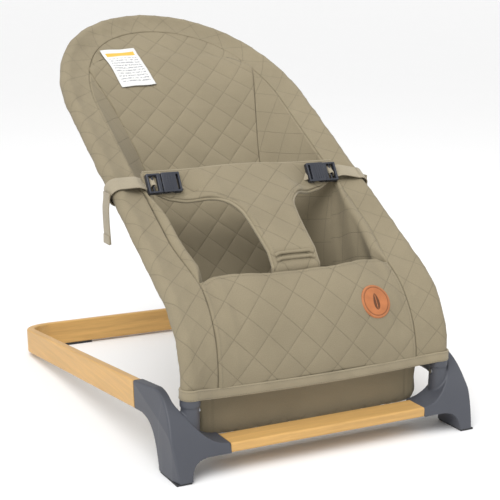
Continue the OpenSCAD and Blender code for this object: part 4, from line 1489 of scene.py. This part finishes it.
def make_badge():
    """A leather disc with a pressed ring and a plain leaf shape."""
    rings, segs = 44, 96
    r = np.linspace(0.2, 20.6, rings)
    a = np.linspace(0, 2 * math.pi, segs, endpoint=False)
    rr, aa = np.meshgrid(r, a, indexing="ij")
    x, y = rr * np.cos(aa), rr * np.sin(aa)
    rim = np.sqrt(np.maximum(0, 1 - np.clip((rr - 19.2) / 1.4, 0, 1) ** 2))
    groove = 0.45 * np.exp(-(((rr - 17.2) / 0.7) ** 2))
    leaf_y = (y + 0.5) / 9.5
    leaf_x = np.abs(x) / 4.6
    leaf = np.clip(1.15 - (leaf_y**2 + leaf_x**1.6 * (1.25 + 0.5 * leaf_y)), 0, 0.25) * 1.6
    vein = 0.25 * np.exp(-((x / 0.5) ** 2)) * (np.abs(leaf_y) < 0.95)
    top = 1.9 * rim - groove - leaf * 0.7 + vein * (leaf > 0)
    upper = on_front(np.stack([x, y, top], -1))
    low = on_front(np.stack([x[-1:], y[-1:], np.full_like(x[-1:], 0.1)], -1))
    grid = np.vstack([upper, low])
    obj = tube("leather_disc", grid)
    mark = np.clip(leaf * 6.0, 0, 1) * (vein < 0.12) + np.exp(-(((rr - 17.2) / 0.6) ** 2)) * 0.8
    mark = np.vstack([mark, np.full((1, segs), 0.9)]).ravel()
    mark = np.concatenate([mark, np.zeros(len(obj.data.vertices) - len(mark))])
    layer = obj.data.attributes.new("Mark", "FLOAT", "POINT")
    layer.data.foreach_set("value", mark.astype(np.float32))
    return obj


def surface_height(obj, x, s, spread):
    """Smoothed height of a piece's outer face out of the frame's plane, at each x and s."""
    bm = bmesh.new()
    bm.from_mesh(obj.data)
    tree = BVHTree.FromBMesh(bm)
    bm.free()
    out = Vector((0.0, -SIN_I, COS_I))
    found = np.zeros(x.shape)
    for index in np.ndindex(x.shape):
        start = Vector(in_frame(on_incline(x[index], s[index], 60.0)))
        hit = tree.ray_cast(start, -out)[3]
        found[index] = 60.0 - (hit / MM if hit is not None else 60.0)
    for _ in range(spread):
        wide = np.pad(found, 1, mode="edge")
        around = wide[:-2, 1:-1] + wide[2:, 1:-1] + wide[1:-1, :-2] + wide[1:-1, 2:]
        found = (around + 2 * found) / 6
    return found


def make_label():
    rows, cols = 60, 44
    s = np.linspace(421.5, 499.5, rows)[:, None]
    x = np.linspace(-94.5, -37.5, cols)[None, :]
    flat_x, flat_s = np.broadcast_arrays(x, s)
    turn = math.radians(8)
    x = -66 + (flat_x + 66) * math.cos(turn) - (flat_s - 460) * math.sin(turn)
    s = 460 + (flat_x + 66) * math.sin(turn) + (flat_s - 460) * math.cos(turn)
    curl = 1.5 * ease((s - 488) / 11) + 0.4 * np.sin((x + s) / 19.0)
    n = surface_height(bpy.data.objects["back_quilt"], x, s, 30) + 1.5 + curl
    p = on_incline(x, s, n)
    uv = np.stack([(flat_x + 94.5) / 57, (flat_s - 421.5) / 78], -1) / MM
    return shell("cloth_label", p, 0.9, None, None, uv, edge=0.6)


def label_cloth():
    """White woven label with a plain band and rows of bars."""
    mat, tree, shader = new_material("Label cloth", 0.75, Sheen_Weight=0.1)
    flat = flat_coords(tree)
    split = tree.nodes.new("ShaderNodeSeparateXYZ")
    tree.links.new(flat, split.inputs[0])
    x, y = split.outputs["X"], split.outputs["Y"]
    blotch = add_group(tree, "Soft blotches", soft_blotches, Scale=60.0, Fine_scale=900.0)
    base = shaded(tree, (0.72, 0.72, 0.70), blotch.outputs["Fine"], 0.95, 1.03)

    def between(value, low, high):
        above = math_node(tree, "GREATER_THAN", value, low)
        return product(tree, above, math_node(tree, "LESS_THAN", value, high))

    inset = between(x, 0.09, 0.91)
    band = product(tree, between(y, 0.80, 0.90), inset)
    base = mixed(tree, band, base, (0.80, 0.42, 0.06, 1.0))
    rows = math_node(tree, "PINGPONG", product(tree, y, 15.0), 0.5)
    bars = product(tree, math_node(tree, "LESS_THAN", rows, 0.22), between(y, 0.10, 0.74))
    breaks = noise(tree, flat, 26.0)
    bars = product(tree, bars, math_node(tree, "GREATER_THAN", breaks, 0.47))
    bars = product(tree, bars, inset)
    base = mixed(tree, bars, base, (0.32, 0.32, 0.34, 1.0))
    tree.links.new(base, shader.inputs["Base Color"])
    bump(tree, shader, blotch.outputs["Fine"], 0.0002, 0.5)
    return mat


class BOUNCER_OT_labels(bpy.types.Operator):
    """Round leather badge on the front panel and the cloth label at the head"""

    bl_idname = "bouncer.labels"
    bl_label = "Badge and label"

    def execute(self, context):
        badge = make_badge()
        finish_blended(badge, badge_leather(), ("leather_badge",))
        a = np.linspace(0, 2 * math.pi, 80)
        ring = on_front(np.stack([18.6 * np.cos(a), 18.6 * np.sin(a), np.full(80, 1.75)], -1))
        finish_blended(stitched("badge_stitches", [ring], 0.0026, 0.00024))
        label = make_label()
        finish_piece(label, "seat", label_cloth(), ("care_label",))
        return {"FINISHED"}


# ---- Base ----


def foot_outline_side():
    """Side of the foot housing, as y and z: toe, shoulder over the arm, its mouth, and the instep."""
    rise, run = math.sin(ARM_SLOPE), math.cos(ARM_SLOPE)

    def arm(d, h):
        return (ARM_FAR_Y - d * run + h * rise, 2 + d * rise + h * run)

    mouth = 465 / run
    shoulder = arm(mouth + 53, ARM_TALL)
    heel = (41.0, 2.0)
    instep = arm(mouth + 15, 0)
    up = bezier((-9, 2), (-3, 32), (18, shoulder[1] + 1), shoulder, 26)
    down = bezier(instep, (64, instep[1] + 3), (52, 42), heel, 22)
    return up + [arm(mouth, ARM_TALL), arm(mouth, 0)] + down


def bezier(a, b, c, d, count):
    t = np.linspace(0, 1, count)[:, None]
    a, b, c, d = (np.array(v, float) for v in (a, b, c, d))
    line = (1 - t) ** 3 * a + 3 * t * (1 - t) ** 2 * b + 3 * t**2 * (1 - t) * c + t**3 * d
    return [tuple(v) for v in line]


def prism(name, outline, low, high, axis):
    """A solid between two parallel faces of one outline, stretched along axis."""
    bm = bmesh.new()
    faces = []
    for depth in (low, high):
        ring = []
        for a, b in outline:
            co = (depth, a, b) if axis == 0 else (a, depth, b)
            ring.append(bm.verts.new(in_frame(np.array(co))))
        faces.append(ring)
    bm.faces.new(faces[0])
    bm.faces.new(faces[1][::-1])
    count = len(outline)
    for k in range(count):
        n = (k + 1) % count
        bm.faces.new([faces[0][n], faces[0][k], faces[1][k], faces[1][n]])
    bmesh.ops.recalc_face_normals(bm, faces=bm.faces)
    return from_bmesh(name, bm)


def front_outline():
    """Front of the foot housing, as x and z: outer wall, ramp, its end and the arch below."""
    return (
        [(210, 2), (210, 112), (203.6, 112)]
        + bezier((203.6, 97), (180, 62), (166, 38.5), (136, 37.5), 22)
        + bezier((136, 25.5), (170, 27), (187, 28.5), (188, 2), 22)
    )


def leg_cone(name, low, high, r_low, r_high):
    """A cone or cylinder about the spring leg, between two heights."""
    a = np.linspace(0, 2 * math.pi, 48, endpoint=False)
    rings = []
    for z, r in ((low, r_low), (high, r_high)):
        rings.append(np.stack([LEG_X + r * np.cos(a), LEG_Y + r * np.sin(a), np.full(48, z)], -1))
    return tube(name, rings)


def make_housing(side):
    """Foot housing: outer shell over the arm, ramp to the crossbar and a round post for the leg."""
    outer = prism("outer", foot_outline_side(), 196.4, 209.8, 0)
    front = prism("front", front_outline(), -9, 40.5, 1)
    side_cut = prism("side_cut", foot_outline_side(), 120, 211, 0)
    boolean(front, side_cut, "INTERSECT")
    boolean(outer, front, "UNION")
    boolean(outer, leg_cone("post", 34, 86, 12.0, 10.8), "UNION")
    boolean(outer, leg_cone("collar", 80, 90, 12.2, 12.2), "UNION")
    boolean(outer, leg_cone("bore", 52, 96, POST_R, POST_R), "DIFFERENCE")
    change = outer.modifiers.new("remesh", "REMESH")
    change.mode = "VOXEL"
    change.voxel_size = 0.0011
    change.use_smooth_shade = True
    flatten(outer)
    soften = outer.modifiers.new("soften", "SMOOTH")
    soften.factor = 0.5
    soften.iterations = 4
    flatten(outer)
    co = np.empty(len(outer.data.vertices) * 3, np.float32)
    outer.data.vertices.foreach_get("co", co)
    co = co.reshape(-1, 3)
    y = (co[:, 1] - FRONT_Y) / MM
    z = co[:, 2] / MM
    x = co[:, 0] / MM
    ridge = 30 + 0.30 * np.maximum(y - 14, 0) + 26 * (1 - np.exp(-np.maximum(y + 9, 0) / 11.0))
    above = np.clip((z - ridge) / 34.0, 0, 1.4)
    toe = np.clip((6 - y) / 15.0, 0, 1) ** 1.5
    crease = np.clip(1 - np.abs(z - ridge) / 9.0, 0, 1) ** 2
    below = np.clip((ridge - z) / 30.0, 0, 1)
    draft = 6.4 * above + 3.4 * toe * ease((x - 150) / 50) - 0.2 * crease
    draft = draft + 1.6 * below * np.clip((30 - y) / 30, 0, 1)
    share = ease((x - 192) / 12)
    co[:, 0] -= (draft * share * MM).astype(np.float32)
    if side < 0:
        co[:, 0] *= -1
    outer.data.vertices.foreach_set("co", co.ravel())
    if side < 0:  # mirrored, so its faces are turned back outwards
        outer.data.flip_normals()
    outer.data.update()
    outer.name = ("right" if side > 0 else "left") + "_foot_shell"
    return outer


class BOUNCER_OT_base(bpy.types.Operator):
    """Wood-look crossbar and rear arch, moulded foot housings, rubber pads and screws"""

    bl_idname = "bouncer.base"
    bl_label = "Base"

    def execute(self, context):
        nodes = frame["nodes"]
        plastic = moulded_plastic("Foot plastic", tuple(colours().plastic), 0.5)
        for side, word in ((-1, "left"), (1, "right")):
            obj = make_housing(side)
            finish_piece(obj, "base", plastic, (word + "_foot_housing",))
        across = wood_film("Wood film across", 0)
        along = wood_film("Wood film along", 1)
        rubber = moulded_plastic("Soft rubber", (0.030, 0.031, 0.034), 0.8, 0.0002)
        steel = plain_steel()
        tube_paint = moulded_plastic("Painted tube", (0.20, 0.21, 0.22), 0.35, 0.00006, Metallic=0.6)
        finishes = (
            (across, ("front_crossbar",)),
            (along, ("rear_base_tube",)),
            (rubber, ("left_foot_pad", "right_foot_pad", "rear_floor_pads")),
            (steel, ("crossbar_screws", "arm_screws", "joiner_rivets")),
            (plastic, ("frame_joiners",)),
            (steel, ("left_snap_button", "right_snap_button")),
            (steel, ("left_button_spring", "right_button_spring")),
            (tube_paint, ("left_spring_leg", "right_spring_leg")),
            (tube_paint, ("left_side_tube", "right_side_tube", "crown_tube")),
        )
        for material, names in finishes:
            for name in names:
                node = nodes[name]
                paint(node, material)
                faces = node.data.polygons
                faces.foreach_set("material_index", np.zeros(len(faces), np.int32))
        return {"FINISHED"}


# ---- Studio ----


def softbox(name, place, target, width, height, power):
    light = bpy.data.lights.new(name, "AREA")
    light.shape = "RECTANGLE"
    light.size = width
    light.size_y = height
    light.energy = power
    obj = linked(name, light)
    obj.location = place
    obj.rotation_euler = (Vector(target) - Vector(place)).to_track_quat("-Z", "Y").to_euler()


class BOUNCER_OT_studio(bpy.types.Operator):
    """Pale floor, soft lights and the camera"""

    bl_idname = "bouncer.studio"
    bl_label = "Studio"

    def execute(self, context):
        scene = context.scene
        bm = bmesh.new()
        rings = []
        for reach, rise in ((4.0, 0.0), (20.0, 0.0), (35.0, 0.6), (50.0, 2.2), (70.0, 6.0)):
            turn = [2 * math.pi * k / 64 for k in range(64)]
            rings.append([bm.verts.new((reach * math.cos(a), reach * math.sin(a), rise)) for a in turn])
        bm.faces.new(rings[0])
        for inner, outer in zip(rings, rings[1:]):
            for k in range(64):
                bm.faces.new([inner[k], outer[k], outer[(k + 1) % 64], inner[(k + 1) % 64]])
        for face in bm.faces:
            face.smooth = True
        floor = from_bmesh("studio_floor", bm)
        mat, tree, shader = new_material("Studio floor", 0.6, Specular_IOR_Level=0.2)
        blotch = add_group(tree, "Soft blotches", soft_blotches, Scale=1.5, Fine_scale=40.0)
        base = shaded(tree, tuple(colours().floor), blotch.outputs["Shade"], 0.995, 1.0)
        tree.links.new(base, shader.inputs["Base Color"])
        paint(floor, mat)

        world = bpy.data.worlds.new("Studio")
        scene.world = world
        world.use_nodes = True
        world.node_tree.nodes["Background"].inputs[0].default_value = (1.0, 1.0, 1.0, 1)
        world.node_tree.nodes["Background"].inputs[1].default_value = 0.62

        sun = bpy.data.lights.new("window", "SUN")
        sun.energy = 1.75
        sun.angle = math.radians(50)
        window = linked("window", sun)
        window.rotation_euler = Vector((0.55, 0.45, -1.0)).to_track_quat("-Z", "Y").to_euler()
        power = sizes().light_power
        softbox("key_light", (-1.4, -1.3, 2.1), (0, 0.0, 0.2), 1.6, 1.2, power)
        softbox("fill_light", (1.8, -1.2, 1.4), (0, 0.05, 0.2), 1.6, 1.2, power * 0.45)
        softbox("top_light", (0.1, 0.5, 2.4), (0, 0.0, 0.2), 1.8, 1.8, power * 0.8)

        yaw, pitch, roll = (math.radians(turn) for turn in CAMERA_TURN)
        level = math.cos(pitch)
        forward = Vector((math.sin(yaw) * level, math.cos(yaw) * level, -math.sin(pitch)))
        right = forward.cross(Vector((0, 0, 1))).normalized()
        up = right.cross(forward)
        turned_right = right * math.cos(roll) + up * math.sin(roll)
        turned_up = up * math.cos(roll) - right * math.sin(roll)
        camera = bpy.data.cameras.new("camera")
        camera.lens = CAMERA_LENS
        camera.sensor_width = 36.0
        camera.clip_end = 30.0
        obj = linked("camera", camera)
        turn = Matrix((turned_right, turned_up, -forward)).transposed()
        obj.matrix_world = Matrix.Translation(CAMERA_PLACE) @ turn.to_4x4()
        scene.camera = obj
        scene.view_settings.view_transform = "Standard"
        return {"FINISHED"}


class BOUNCER_PT_panel(bpy.types.Panel):
    """Steps that build the bouncer seat, in order"""

    bl_idname = "BOUNCER_PT_panel"
    bl_label = "Bouncer Seat"
    bl_space_type = "VIEW_3D"
    bl_region_type = "UI"
    bl_category = "Bouncer"

    def draw(self, context):
        layout = self.layout
        box = layout.box()
        box.label(text="Sizes")
        for name in BouncerSizes.__annotations__:
            box.prop(context.scene.bouncer_sizes, name)
        box = layout.box()
        box.label(text="Colours")
        for name in BouncerColours.__annotations__:
            box.prop(context.scene.bouncer_colours, name)
        column = layout.column(align=True)
        for step in STEPS:
            column.operator(step.bl_idname, text=step.bl_label)


STEPS = (
    BOUNCER_OT_base,
    BOUNCER_OT_sleeve,
    BOUNCER_OT_seat,
    BOUNCER_OT_apron,
    BOUNCER_OT_harness,
    BOUNCER_OT_straps,
    BOUNCER_OT_buckles,
    BOUNCER_OT_labels,
    BOUNCER_OT_studio,
)
CLASSES = (BouncerSizes, BouncerColours) + STEPS + (BOUNCER_PT_panel,)


def register():
    for cls in CLASSES:
        bpy.utils.register_class(cls)
    bpy.types.Scene.bouncer_sizes = PointerProperty(type=BouncerSizes)
    bpy.types.Scene.bouncer_colours = PointerProperty(type=BouncerColours)


def unregister():
    del bpy.types.Scene.bouncer_colours
    del bpy.types.Scene.bouncer_sizes
    for cls in reversed(CLASSES):
        bpy.utils.unregister_class(cls)


def main():
    register()
    bpy.ops.bouncer.base()
    bpy.ops.bouncer.sleeve()
    bpy.ops.bouncer.seat()
    bpy.ops.bouncer.apron()
    bpy.ops.bouncer.harness()
    bpy.ops.bouncer.straps()
    bpy.ops.bouncer.buckles()
    bpy.ops.bouncer.labels()
    bpy.ops.bouncer.studio()


if __name__ == "__main__":
    main()
